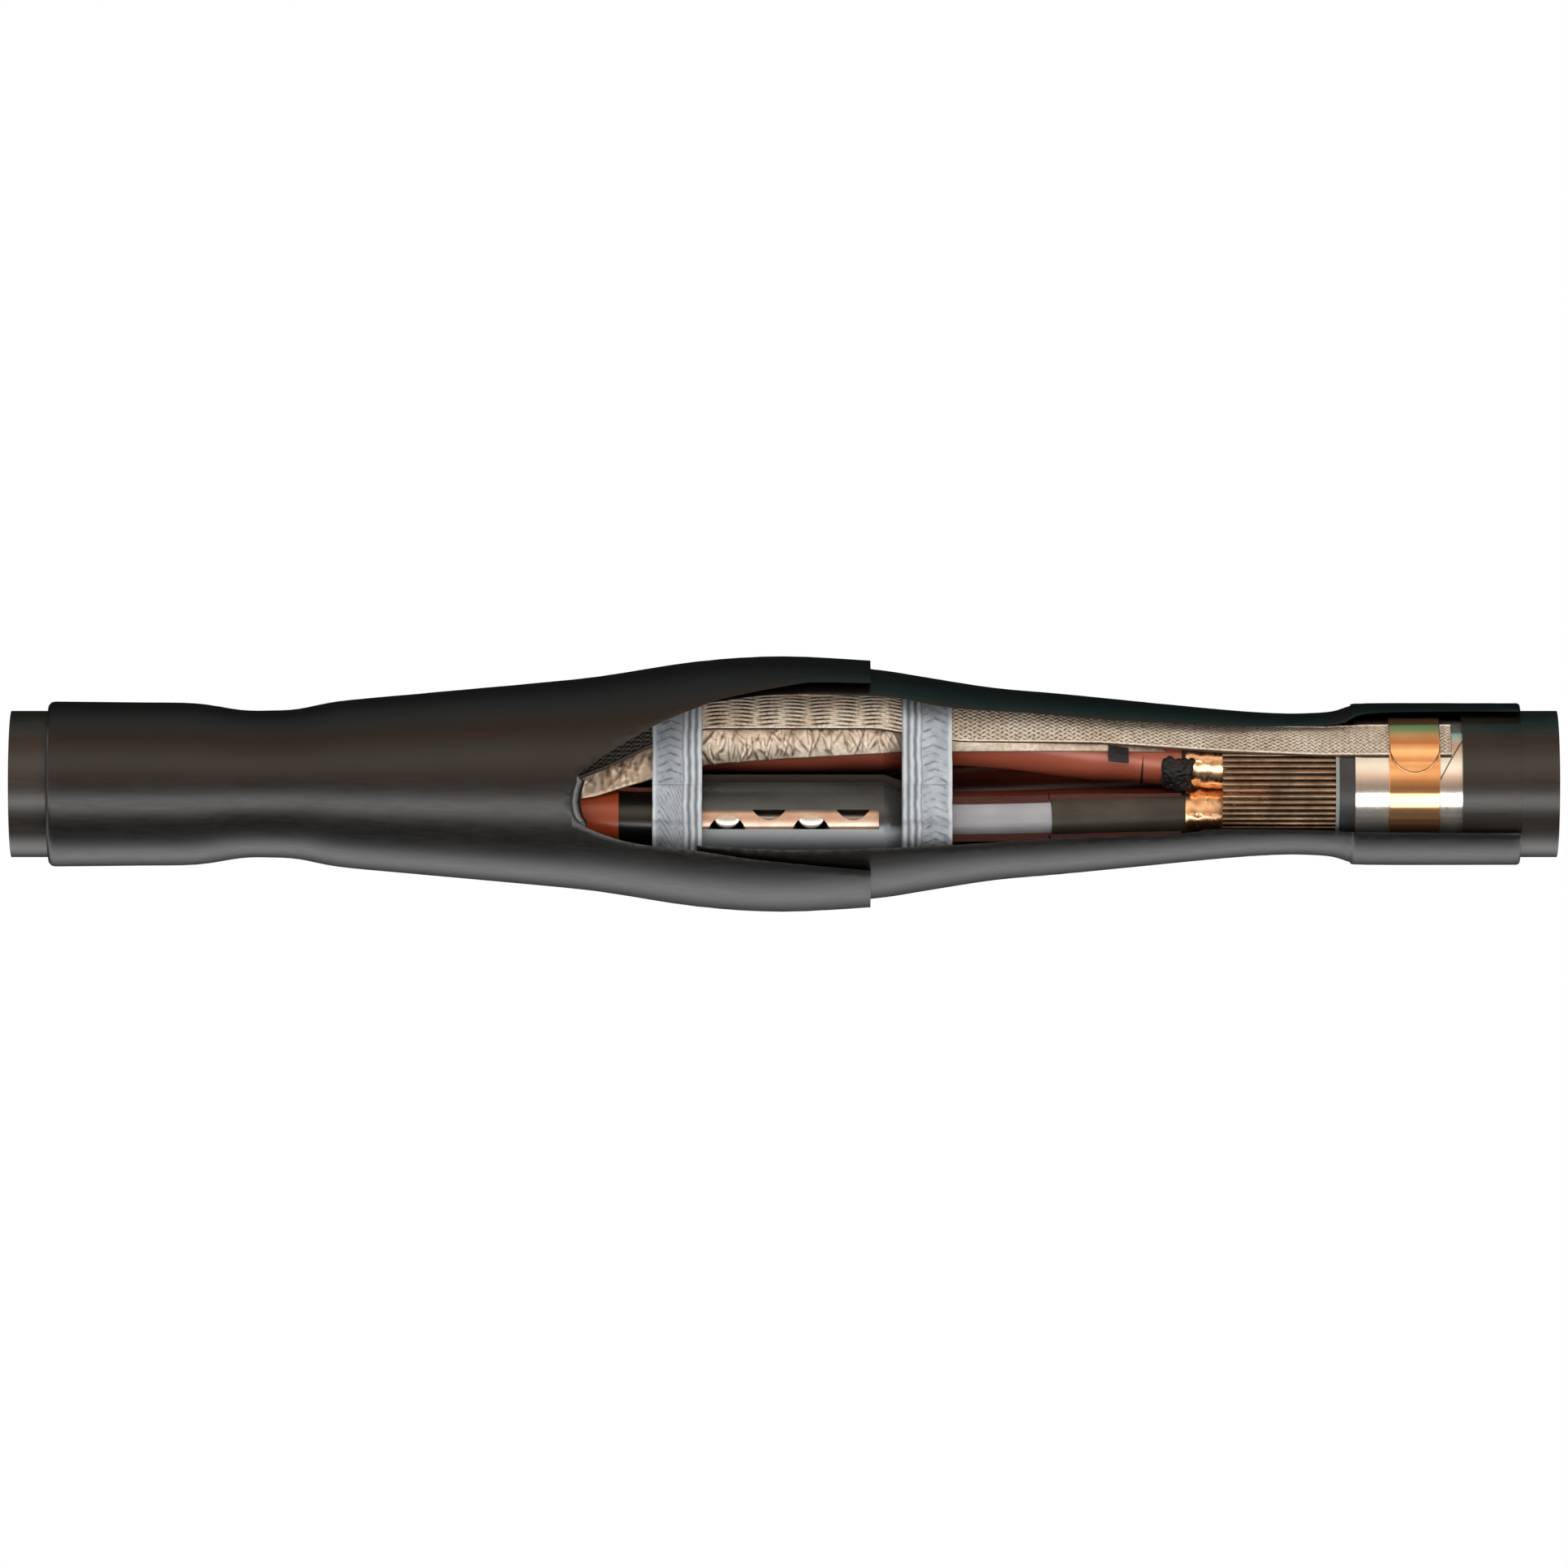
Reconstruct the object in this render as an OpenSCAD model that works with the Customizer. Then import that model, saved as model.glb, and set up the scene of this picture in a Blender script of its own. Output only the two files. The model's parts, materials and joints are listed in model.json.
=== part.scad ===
/* [Cable cores] */
// Diameter of each conductor
conductor_d = 14; // [12:0.5:17]
// Thickness of the insulation on each core
insulation_t = 4; // [3.3:0.1:5]
// Thickness of the conductive screen on the insulation
screen_t = 0.7; // [0.5:0.1:1]
// Thickness of the copper tape on each core
tape_t = 0.8; // [0.4:0.1:1]

/* [Cable layers] */
// Diameter of each screen wire
wire_d = 2.5; // [2:0.1:3]
// Gap between neighbouring screen wires
wire_gap = 0.45; // [0.3:0.05:1]
// Thickness of the bedding over the wires
bedding_t = 1.1; // [0.8:0.1:1.5]
// Thickness of one steel armour tape
steel_t = 0.5; // [0.3:0.1:0.8]
// Length of armour that one turn of the outer tape takes up
steel_pitch = 100; // [80:5:140]
// Thickness of the outer sheath
sheath_t = 4; // [3:0.1:5]
// Depth by which the sheath is abraded where a jacket seals on it
abraded_t = 0.4; // [0.4:0.1:0.8]

/* [Core joints] */
// Length of each connector
connector_l = 89; // [74:1:100]
// Outer diameter of each connector
connector_d = 30; // [28:0.5:36]
// Diameter of each shear bolt
bolt_d = 19; // [14:0.5:20]
// Distance along the connector between one bolt and the next
bolt_pitch = 20.6; // [19:0.2:23]
// Angle between each bolt and the middle of the bolt rows
bolt_spread = 34; // [28:1:40]
// Bare conductor between connector and insulation
bare_l = 5; // [3:0.5:8]
// Wall of the stress control tube over the connector
stress_t_mid = 3.3; // [2.5:0.1:4]
// Wall of the stress control tube over the insulation
stress_t = 2.3; // [1.8:0.1:2.5]
// Wall of the insulating tube over the connector
tube_t_mid = 3.7; // [3:0.1:4.5]
// Wall of the insulating tube beside the connector
tube_t_near = 2.3; // [1.8:0.1:2.8]
// Wall of the insulating tube at its ends
tube_t_far = 1.6; // [1.2:0.1:1.8]

/* [Core run] */
// Straight stretch of each core, from the middle of the joint
straight_l = 65; // [60:1:75]
// Straight slanted stretch inside each bend
link_l = 48; // [40:1:56]
// Distance from the middle to where the cores lie together again
crotch_l = 235; // [225:1:270]
// Distance from the middle to the ends of the insulating tubes
tube_l = 192; // [185:1:200]
// Turn of the core triangle from the middle to either cable
lay_turn = 35; // [30:1:40]

/* [Lengths along the joint] */
// Distance from the middle to the start of the screen wires
wires_from = 212; // [210:1:220]
// Length of screen wires laid bare on the left cable
wires_left = 67; // [50:1:90]
// Length of screen wires laid bare on the right cable
wires_right = 55.5; // [45:0.5:90]
// Length of bedding laid bare on the left cable
bedding_left = 13; // [9:0.5:16]
// Length of bedding laid bare on the right cable
bedding_right = 9.5; // [8:0.5:14]
// Length of steel armour laid bare on the left cable
armour_left = 29; // [28.5:0.5:60]
// Length of steel armour laid bare on the right cable
armour_right = 52.5; // [45:0.5:60]
// Length of sheath under the left jacket
grip_left = 43.5; // [36:0.5:60]
// Length of sheath under the right jacket
grip_right = 29; // [24:0.5:60]
// Length of sheath that stands free at either end
free_l = 18.5; // [15:0.5:40]

/* [Wrapping] */
// Width of the roll springs
spring_w = 25; // [20:1:26]
// Thickness of the spring strip
spring_t = 0.5; // [0.3:0.1:0.6]
// Turns of each roll spring
spring_turns = 2; // [2:1:3]
// Width of the earth braid
braid_w = 20; // [16:1:26]
// Thickness of the earth braid
braid_t = 1.2; // [0.8:0.1:1.4]
// Thickness of the copper mesh wrap
mesh_t = 0.8; // [0.5:0.1:1]
// Width of the binding tapes
strap_w = 24.5; // [20:0.5:26]
// Thickness of the binding tapes
strap_t = 1.2; // [0.8:0.1:1.5]
// Distance from the middle to the near edge of the left binding tape
strap_left = 43; // [40:0.5:50]
// Distance from the middle to the near edge of the right binding tape
strap_right = 55; // [48:0.5:60]

/* [Outer jackets] */
// Wall of the left jacket
jacket_t_left = 4; // [3:0.1:5]
// Wall of the right jacket
jacket_t_right = 3.2; // [2.8:0.1:4]
// Layer of sealing mastic between sheath and jacket
mastic_t = 1; // [0.8:0.1:1.5]
// Room between the bundle and the jackets at the middle
bulge_room = 5; // [4:0.1:8]
// Reach of the left jacket past the middle
overlap_right = 39.5; // [30:0.5:50]
// Reach of the right jacket past the middle
overlap_left = 48; // [40:0.5:60]

/* [Hidden] */
UPPER = 0;
LOWER = 1;
REAR = 2;
LEFT = -1;
RIGHT = 1;
PHASES = ["upper", "lower", "rear"];
// Angles of the cores at the middle, up from the side that faces the viewer
phase_angle = [77, -43, 197];
SIDES = [for (s = [LEFT, RIGHT]) s];
function side_name(side) = side == LEFT ? "left" : "right";
function both(name) = [for (s = SIDES) str(name, "_", side_name(s))];
function per_core(name) = [for (p = PHASES) str(name, "_", p)];
function per_core_end(name) = [for (s = SIDES, p = PHASES) str(name, "_", side_name(s), "_", p)];
$fn = 72;

// Clearance between a layer and the one inside it
seat = 0.05;
// Straight stretches are this much thicker than the bends that run into them
swell = 0.1;
// Overlap of two stretches of one rod
lap = 0.5;
// Start of the screen in the link, past the end of the bend
screen_start = lap + 0.1;
// Room for cuts that pass right through
past = 100;

// Radii of the cable, from the conductor outwards
conductor_r = conductor_d / 2;
insulation_r = conductor_r + insulation_t;
screen_r = insulation_r + screen_t;
core_r = screen_r + tape_t;
connector_r = connector_d / 2;
stress_r_mid = connector_r + stress_t_mid;
stress_r = insulation_r + stress_t;
tube_r_mid = stress_r_mid + tube_t_mid;
tube_r_near = stress_r + tube_t_near;
tube_r_bare = insulation_r + tube_t_near + 0.6;
tube_r_far = screen_r + tube_t_far;
core_gap = 0.06;
end_ring = (2 * core_r + core_gap) / sqrt(3);
mid_ring = (2 * tube_r_mid + core_gap) / sqrt(3);
binder_t = 0.4;
laid_up_r = ceil((end_ring + core_r + binder_t) * 10) / 10;
wire_ring = laid_up_r + wire_d / 2;
wires_r = wire_ring + wire_d / 2;
bedding_r = wires_r + bedding_t;
armour_r = bedding_r + 2 * steel_t;
sheath_r = armour_r + sheath_t;
grip_r = sheath_r - abraded_t;
wire_n = floor(180 / asin((wire_d + wire_gap) / 2 / wire_ring));

// Stations along the axis, from the cut end of the left cable
middle_x = free_l + grip_left + armour_left + bedding_left + wires_left + wires_from;
function own_wires(side) = side == LEFT ? wires_left : wires_right;
function own_bedding(side) = side == LEFT ? bedding_left : bedding_right;
function own_armour(side) = side == LEFT ? armour_left : armour_right;
function own_grip(side) = side == LEFT ? grip_left : grip_right;
function bedding_from(side) = wires_from + own_wires(side);
function armour_from(side) = bedding_from(side) + own_bedding(side);
function sheath_from(side) = armour_from(side) + own_armour(side);
function jacket_end(side) = sheath_from(side) + own_grip(side);
function cable_end(side) = jacket_end(side) + free_l;

// Route of each core: straight, bend, slanted link, bend back, straight
function ring_point(r, a) = [-r * cos(a), r * sin(a)];
function mid_point(p) = ring_point(mid_ring, phase_angle[p]);
function end_point(p, side) = ring_point(end_ring, phase_angle[p] - side * lay_turn);
shift = norm(end_point(UPPER, RIGHT) - mid_point(UPPER));
bend_a = 2 * atan(shift / (crotch_l - straight_l + link_l));
bend_r = (shift - link_l * sin(bend_a)) / (2 * (1 - cos(bend_a)));
bend_x = bend_r * sin(bend_a);
bend_y = bend_r * (1 - cos(bend_a));
link_x = link_l * cos(bend_a);
near_end = straight_l + bend_x;
far_start = near_end + link_x;
function lateral(u) =
    u < straight_l ? 0 :
    u < near_end ? bend_r - sqrt(pow(bend_r, 2) - pow(u - straight_l, 2)) :
    u < far_start ? bend_y + (u - near_end) * tan(bend_a) :
    u < crotch_l ? shift - bend_r + sqrt(pow(bend_r, 2) - pow(crotch_l - u, 2)) :
    shift;
function core_at(p, u) =
    mid_point(p) + (end_point(p, sign(u)) - mid_point(p)) * lateral(abs(u)) / shift;

// Half lengths of the connector and of the tapers beside it
connector_u = connector_l / 2;
insulation_u = connector_u + bare_l;
taper_u = connector_u + 1.5;
stress_taper_u = taper_u + 10;
tube_taper_u = straight_l - 1;
stress_l = 24;
// The lower stress tube is trimmed back under the right binding tape
trim_u = strap_right + strap_w - 5;

module slab(from, to)
{
    translate([from, -past, -past])
        cube([to - from, 2 * past, 2 * past]);
}

module along_x(from, to, r)
{
    translate([from, 0, 0])
        rotate([0, 90, 0])
            cylinder(h = to - from, r = r);
}

module turned(points)
{
    rotate([0, 90, 0])
        rotate_extrude()
            polygon([for (p = points) [p[1], p[0]]]);
}

// Wall between an outer and an inner outline, each a list of [place, radius]
module turned_wall(outer, inner)
{
    turned(concat(outer, [for (i = [len(inner) - 1:-1:0]) inner[i]]));
}

// Local frame of one core on one side: x outwards from the middle, y towards its place in the cable
module core_frame(p, side)
{
    to = end_point(p, side) - mid_point(p);
    translate([middle_x, mid_point(p)[0], mid_point(p)[1]])
        rotate([atan2(to[1], to[0]), 0, 0])
            mirror([side == LEFT ? 1 : 0, 0, 0])
                children();
}

module ring_section(r, bore)
{
    difference()
    {
        circle(r);
        if (bore > 0)
            circle(bore);
    }
}

// Radii are [outer, bore], thinned by swell so that the straight stretches hold the bends' ends
module near_bend(r)
{
    a = bend_a + 2 * lap / bend_r * 180 / PI;
    translate([straight_l, bend_r, 0])
        rotate([0, 0, -90 - (a - bend_a) / 2])
            rotate_extrude(angle = a)
                translate([bend_r, 0])
                    ring_section(r[0] - swell, r[1] > 0 ? r[1] + swell : 0);
}

module far_bend(r)
{
    a = bend_a + 2 * lap / bend_r * 180 / PI;
    translate([far_start + bend_x, shift - bend_r, 0])
        rotate([0, 0, 90 - (a - bend_a) / 2])
            rotate_extrude(angle = a)
                translate([bend_r, 0])
                    ring_section(r[0] - swell, r[1] > 0 ? r[1] + swell : 0);
}

module in_link()
{
    translate([near_end, bend_y, 0])
        rotate([0, 0, bend_a])
            children();
}

module core_straight(from, to, r)
{
    outline = [[from, r[0]], [to, r[0]]];
    turned_wall(outline, [[from, r[1]], [to, r[1]]]);
}

module end_straight(side, r)
{
    translate([0, shift, 0])
        core_straight(crotch_l, cable_end(side), r);
}

module far_rod(side, r)
{
    far_bend(r);
    end_straight(side, r);
}

module conductor(p, side)
{
    r = [conductor_r, 0];
    color("silver")
        core_frame(p, side)
        {
            core_straight(1.5, straight_l, r);
            near_bend(r);
            in_link() core_straight(0, link_l, r);
            far_rod(side, r);
        }
}

module insulation(p, side)
{
    r = [insulation_r, conductor_r + seat];
    color("gainsboro")
        core_frame(p, side)
        {
            core_straight(insulation_u, straight_l, r);
            near_bend(r);
            in_link() core_straight(0, link_l, r);
            far_rod(side, r);
        }
}

module core_screen(p, side)
{
    r = [screen_r, insulation_r + seat];
    color("darkolivegreen")
        core_frame(p, side)
        {
            in_link() core_straight(screen_start, link_l, r);
            far_rod(side, r);
        }
}

module copper_tape(p, side)
{
    r = [core_r, screen_r + seat];
    color("peru")
        core_frame(p, side)
            intersection()
            {
                far_rod(side, r);
                slab(tube_l + 2, cable_end(side));
            }
}

// The bolts sit in two rows, one to either side of the connector's front
module bolt_places(p)
{
    turn = 4;
    for (i = [0:3])
    {
        row = i % 2 == 0 ? -1 : 1;
        translate([middle_x + (i - 1.5) * bolt_pitch, mid_point(p)[0], mid_point(p)[1]])
            rotate([90 - row * bolt_spread - turn, 0, 0])
                children();
    }
}

module connector(p)
{
    web = 1.5;
    color("burlywood")
        difference()
        {
            translate([middle_x, mid_point(p)[0], mid_point(p)[1]])
                difference()
                {
                    along_x(-connector_u, connector_u, connector_r);
                    for (side = SIDES)
                        mirror([side == LEFT ? 1 : 0, 0, 0])
                            along_x(web, connector_u + 1, conductor_r + 2 * seat);
                }
            bolt_places(p)
                cylinder(h = connector_r + 1, d = bolt_d + 2 * seat);
        }
}

module shear_bolts()
{
    sunk = 0.4;
    color("lightgray")
        for (p = [UPPER:REAR])
            intersection()
            {
                bolt_places(p)
                    translate([0, 0, conductor_r + 3 * seat])
                        cylinder(h = connector_r, d = bolt_d);
                translate([middle_x, mid_point(p)[0], mid_point(p)[1]])
                    along_x(-connector_u, connector_u, connector_r - sunk);
            }
}

stress_mid = [
    [0, stress_r_mid], [taper_u, stress_r_mid], [stress_taper_u, stress_r], [straight_l, stress_r]];
stress_bore = [
    [0, connector_r + seat], [connector_u + seat, connector_r + seat],
    [connector_u + seat, conductor_r + seat], [insulation_u - seat, conductor_r + seat],
    [insulation_u - seat, insulation_r + seat], [straight_l, insulation_r + seat]];
function mirrored(points) = [for (i = [len(points) - 1:-1:1]) [-points[i][0], points[i][1]]];
function both_ways(points) = concat(mirrored(points), points);
function grown(points, by) = [for (p = points) [p[0], p[1] + by]];

module core_middle(p)
{
    translate([middle_x, mid_point(p)[0], mid_point(p)[1]])
        children();
}

module stress_tube_end(p, side)
{
    near = [stress_r, insulation_r + seat];
    core_frame(p, side)
        if (p == LOWER && side == RIGHT)
            intersection()
            {
                near_bend(near);
                slab(straight_l - lap, trim_u);
            }
        else
        {
            near_bend(near);
            in_link()
                turned_wall(
                    [[0, stress_r], [stress_l / 2, stress_r], [stress_l, stress_r - 0.6]],
                    [[0, insulation_r + seat], [screen_start - seat, insulation_r + seat],
                        [screen_start - seat, screen_r + seat], [stress_l, screen_r + seat]]);
        }
}

// Window that shows the lower connector
window_w = 87;
window_h = 9.6;

module stress_tube(p)
{
    color("dimgray")
        difference()
        {
            union()
            {
                core_middle(p)
                    turned_wall(both_ways(stress_mid), both_ways(stress_bore));
                for (side = SIDES)
                    stress_tube_end(p, side);
            }
            if (p == LOWER)
                core_middle(p)
                    translate([-window_w / 2, -past, -window_h / 2])
                        cube([window_w, past, window_h]);
        }
}

tube_mid = [
    [0, tube_r_mid], [taper_u, tube_r_mid], [tube_taper_u, tube_r_near], [straight_l, tube_r_near]];

module insulating_tube_end(p, side)
{
    bare = p == LOWER && side == RIGHT;
    near = [tube_r_near, stress_r + seat];
    near_bare = [tube_r_bare, insulation_r + seat];
    far = [tube_r_far, screen_r + seat];
    link_r = bare ? tube_r_bare : tube_r_near;
    link_bore = bare ? insulation_r + seat : stress_r + seat;
    bore_step = bare ? screen_start - seat : stress_l + seat;
    core_frame(p, side)
    {
        intersection()
        {
            near_bend(near);
            slab(straight_l - lap, bare ? trim_u + 3 : near_end + lap);
        }
        if (bare)
            intersection()
            {
                near_bend(near_bare);
                slab(trim_u + 2, near_end + lap);
            }
        in_link()
            turned_wall(
                [[0, link_r], [stress_l, link_r], [link_l - 4, tube_r_far], [link_l, tube_r_far]],
                [[0, link_bore], [bore_step, link_bore], [bore_step, far[1]], [link_l, far[1]]]);
        intersection()
        {
            far_bend(far);
            slab(far_start - lap, tube_l);
        }
    }
}

// Depth to which the front of the lower tube is cut away, from the axis of its core
cut_from = -84;
cut_front = 1;
cut_window = 8.4;

module tube_cut()
{
    steps = [strap_right + strap_w:12:tube_l + 12];
    shallow = concat(
        [[cut_from, -past], [cut_from, core_at(LOWER, cut_from)[0] - cut_front]],
        [[strap_right + strap_w, core_at(LOWER, strap_right + strap_w)[0] - cut_front]],
        [for (u = steps) [u, core_at(LOWER, u)[0] - cut_window]],
        [[tube_l + 13, -past]]);
    translate([middle_x, 0, -past])
        linear_extrude(2 * past)
            polygon(shallow);
}

module insulating_tube(p)
{
    color("firebrick")
        difference()
        {
            union()
            {
                core_middle(p)
                    turned_wall(both_ways(tube_mid), both_ways(grown(stress_mid, seat)));
                for (side = SIDES)
                    insulating_tube_end(p, side);
            }
            if (p == LOWER)
                tube_cut();
        }
}

// One side of the cable, with x from the middle of the joint
module cable_frame(side)
{
    translate([middle_x, 0, 0])
        mirror([side == LEFT ? 1 : 0, 0, 0])
            children();
}

module core_filler(side)
{
    color("wheat")
        difference()
        {
            cable_frame(side)
                along_x(crotch_l + 1, cable_end(side), end_ring + core_r - seat);
            for (p = [UPPER:REAR])
                translate([middle_x, end_point(p, side)[0], end_point(p, side)[1]])
                    rotate([0, 90 * side, 0])
                        cylinder(h = cable_end(side) + 1, r = core_r + seat);
        }
}

module screen_wires(side)
{
    color("tan")
        cable_frame(side)
            for (i = [0:wire_n - 1])
                rotate([i * 360 / wire_n, 0, 0])
                    translate([0, -wire_ring, 0])
                        along_x(wires_from, cable_end(side), wire_d / 2);
}

module cable_layer(side, from, r, bore)
{
    cable_frame(side)
        turned_wall([[from, r], [cable_end(side), r]], [[from, bore], [cable_end(side), bore]]);
}

module bedding(side)
{
    color("black")
        cable_layer(side, bedding_from(side), bedding_r, wires_r + seat);
}

module armour_tape(side)
{
    color("lightgray")
        cable_layer(side, armour_from(side), armour_r, bedding_r + seat);
}

module cable_sheath(side)
{
    from = sheath_from(side);
    step = jacket_end(side);
    to = cable_end(side);
    bore = armour_r + seat;
    color([0.2, 0.19, 0.18])
        cable_frame(side)
            turned_wall(
                [[from, grip_r], [step, grip_r], [step, sheath_r], [to, sheath_r]],
                [[from, bore], [to, bore]]);
}

// Smooth curve through chosen points
function spline_point(a, b, c, d, t) =
    0.5 * (2 * b + (c - a) * t + (2 * a - 5 * b + 4 * c - d) * pow(t, 2)
        + (3 * b - a - 3 * c + d) * pow(t, 3));
function spline(points, steps) =
    let (n = len(points))
    [for (i = [0:n - 2], s = [0:steps - 1])
        spline_point(points[max(i - 1, 0)], points[i], points[i + 1],
            points[min(i + 2, n - 1)], s / steps),
        points[n - 1]];

// Room between the two jackets where they overlap
jacket_seat = 0.15;

// Outlines of the jackets: their outer radius along x, over what each stretch covers
bundle_r = mid_ring + tube_r_mid + seat + mesh_t + braid_t + strap_t;
bulge_r = bundle_r + jacket_t_right + bulge_room + jacket_t_left;
function neck_r(wall, room) = wires_r + braid_t + room + wall;
function collar_r(wall) = grip_r + mastic_t + wall;
neck_left = neck_r(jacket_t_left, 1.1);
neck_right = neck_r(jacket_t_right, 0.6);
neck_left_u = bedding_from(LEFT) - 23;
neck_right_u = bedding_from(RIGHT) - 28;
// Shares of the run from neck to bulge, and of the rise
rise_left = [
    [0, 0], [0.055, 0.03], [0.132, 0.17], [0.257, 0.285], [0.493, 0.49],
    [0.634, 0.63], [0.822, 0.905], [0.985, 1], [1 + overlap_right / neck_left_u, 0.92]];
rise_right = [
    [0, 0], [0.125, 0.073], [0.329, 0.255], [0.534, 0.441], [0.697, 0.575],
    [0.861, 0.81], [0.943, 0.935], [1, 1]];
left_keys = concat(
    [[jacket_end(LEFT) - 3, collar_r(jacket_t_left)],
        [sheath_from(LEFT), collar_r(jacket_t_left) - 0.4],
        [armour_from(LEFT), collar_r(jacket_t_left) - 0.9],
        [bedding_from(LEFT) - 9, neck_left + 0.3]],
    [for (k = rise_left)
        [neck_left_u * (1 - k[0]), neck_left + k[1] * (bulge_r - neck_left)]]);
function side_line(points, side) = [for (p = points) [side * p[0], p[1]]];
left_line = side_line(spline(left_keys, 4), LEFT);
left_chamfer = side_line(
    [[jacket_end(LEFT), collar_r(jacket_t_left) - 1.8],
        [jacket_end(LEFT) - 1.2, collar_r(jacket_t_left) - 0.4]], LEFT);
// The right jacket runs along inside the left one as far as its edge
under_left = [for (p = left_line) if (p[0] > -overlap_left) [p[0], p[1] - jacket_t_left - jacket_seat]];
lip = under_left[len(under_left) - 1];
right_keys = concat(
    [for (i = [len(rise_right) - 1:-1:0])
        [lip[0] + (neck_right_u - lip[0]) * (1 - rise_right[i][0]),
            neck_right + rise_right[i][1] * (lip[1] - neck_right)]],
    [[bedding_from(RIGHT) - 14, neck_right - 0.05], [bedding_from(RIGHT) - 1, neck_right + 0.9],
        [armour_from(RIGHT) - 1.5, neck_right + 3.6],
        [armour_from(RIGHT) + 7, collar_r(jacket_t_right)],
        [jacket_end(RIGHT) - 1, collar_r(jacket_t_right)]]);
right_line = concat(
    [for (i = [0:len(under_left) - 2]) under_left[i]], spline(right_keys, 4));
right_chamfer = [[jacket_end(RIGHT), collar_r(jacket_t_right) - 0.6]];

// Edges of the openings cut in the front of the jackets, as [x from the middle, height]
left_window = concat(
    spline([[-107.6, -9], [-106, -1], [-100, 7.5], [-68, 27.6], [-43.5, 38], [-28.7, 42.7],
        [1.7, 48.6], [15, 49.8], [45, 49.2]], 4),
    spline([[45, -43], [11.4, -39.9], [-18.6, -36.8], [-44.2, -32.9], [-65.7, -30.6],
        [-85.5, -26.7], [-104, -18.6], [-107.6, -9]], 4));
right_window = concat(
    spline([[-60, 36], [-28.8, 41.3], [-6.9, 43.6], [37, 43.2], [57, 41.4], [80.3, 37.1],
        [118.6, 34.6], [157.3, 31.3], [195.6, 29.6], [221.4, 28.3], [266, 28.9], [277.6, 33.2],
        [290, 35], [328.4, 35.6], [370, 35.4]], 3),
    spline([[370, -24.2], [275.6, -23.6], [267.8, -22.8], [209.9, -22.2], [191.4, -24.2],
        [124, -26.9], [79.9, -29.9], [33.6, -31.8], [-5.3, -32.1], [-43.1, -30.2], [-60, -28]], 3));

module front_cut(edge)
{
    translate([middle_x, -2, 0])
        rotate([90, 0, 0])
            linear_extrude(past)
                polygon(edge);
}

module jacket_shell(side)
{
    line = side == LEFT ? left_line : right_line;
    chamfer = side == LEFT ? left_chamfer : right_chamfer;
    wall = side == LEFT ? jacket_t_left : jacket_t_right;
    bore = [[side * jacket_end(side), collar_r(0)]];
    translate([middle_x, 0, 0])
        turned_wall(
            side == LEFT ? concat(chamfer, line) : concat(line, chamfer),
            side == LEFT ? concat(bore, grown(line, -wall)) : concat(grown(line, -wall), bore));
}

module outer_jacket(side)
{
    color([0.16, 0.15, 0.14])
        difference()
        {
            jacket_shell(side);
            front_cut(side == LEFT ? left_window : right_window);
        }
}

module sealing_mastic(side)
{
    from = sheath_from(side) + 2;
    to = jacket_end(side) - 4;
    top = grip_r + mastic_t - (side == LEFT ? 0.5 : 0.1);
    color("black")
        difference()
        {
            cable_frame(side)
                turned_wall([[from, top], [to, top]], [[from, grip_r + seat], [to, grip_r + seat]]);
            if (side == RIGHT)
                front_cut(right_window);
        }
}

// Radius of each core's outside along the joint, with room for the slant of the links
slant = 1 / cos(bend_a);
far_taper_from = near_end + stress_l + tube_r_near * sin(bend_a);
far_taper_to = far_start - 4 + tube_r_near * sin(bend_a);
function blend(a, b, t) = a + (b - a) * min(max(t, 0), 1);
function tube_out(u) =
    let (v = abs(u))
    v < straight_l ? blend(tube_r_mid, tube_r_near, (v - taper_u) / (tube_taper_u - taper_u)) :
    slant * blend(tube_r_near, tube_r_far, (v - far_taper_from) / (far_taper_to - far_taper_from));
// Radius of the cable's outside, rising just ahead of each layer's edge
ramp = 8;
function edge_rise(v, at, step) = step * min(max((v - at) / ramp + 1, 0), 1);
function cable_out(u) =
    let (v = abs(u), side = sign(u))
    v < wires_from - ramp ? 0 :
    end_ring + core_r + edge_rise(v, wires_from, wires_r - end_ring - core_r)
        + edge_rise(v, bedding_from(side), bedding_t) + edge_rise(v, armour_from(side), 2 * steel_t);
function facing(a) = [-cos(a), sin(a)];
// Stations between two places, with one at each corner of the outline
half_corners = [
    0, taper_u, tube_taper_u, straight_l, near_end, far_taper_from, far_taper_to,
    wires_from - ramp, wires_from];
function corners_of(side) = [
    for (u = concat(half_corners, [bedding_from(side) - ramp, bedding_from(side),
        armour_from(side) - ramp, armour_from(side)])) side * u];
all_corners = concat(
    [for (i = [len(half_corners) + 3:-1:1]) corners_of(LEFT)[i]], corners_of(RIGHT));
function stations(from, to, pitch) =
    let (ends = concat([from], [for (u = all_corners) if (u > from && u < to) u], [to]))
    concat(
        [for (i = [0:len(ends) - 2])
            let (run = ends[i + 1] - ends[i], n = ceil(run / pitch))
            for (k = [0:n - 1]) ends[i] + run * k / n],
        [to]);
// Circles [centre, radius] that the wrapping lies on at one station
function bundle(u) = concat(
    [for (p = [UPPER:REAR]) [core_at(p, u), tube_out(u)]],
    abs(u) >= wires_from - ramp ? [[[0, 0], cable_out(u)]] : []);
function reach(c, n) = c[0] * n + c[1];
function outermost(circles, n) =
    let (most = max([for (c = circles) reach(c, n)]))
    [for (c = circles) if (reach(c, n) == most) c][0];
function wrap_point(u, a, off) =
    let (n = facing(a), c = outermost(bundle(u), n))
    c[0] + n * (c[1] + off);

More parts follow.
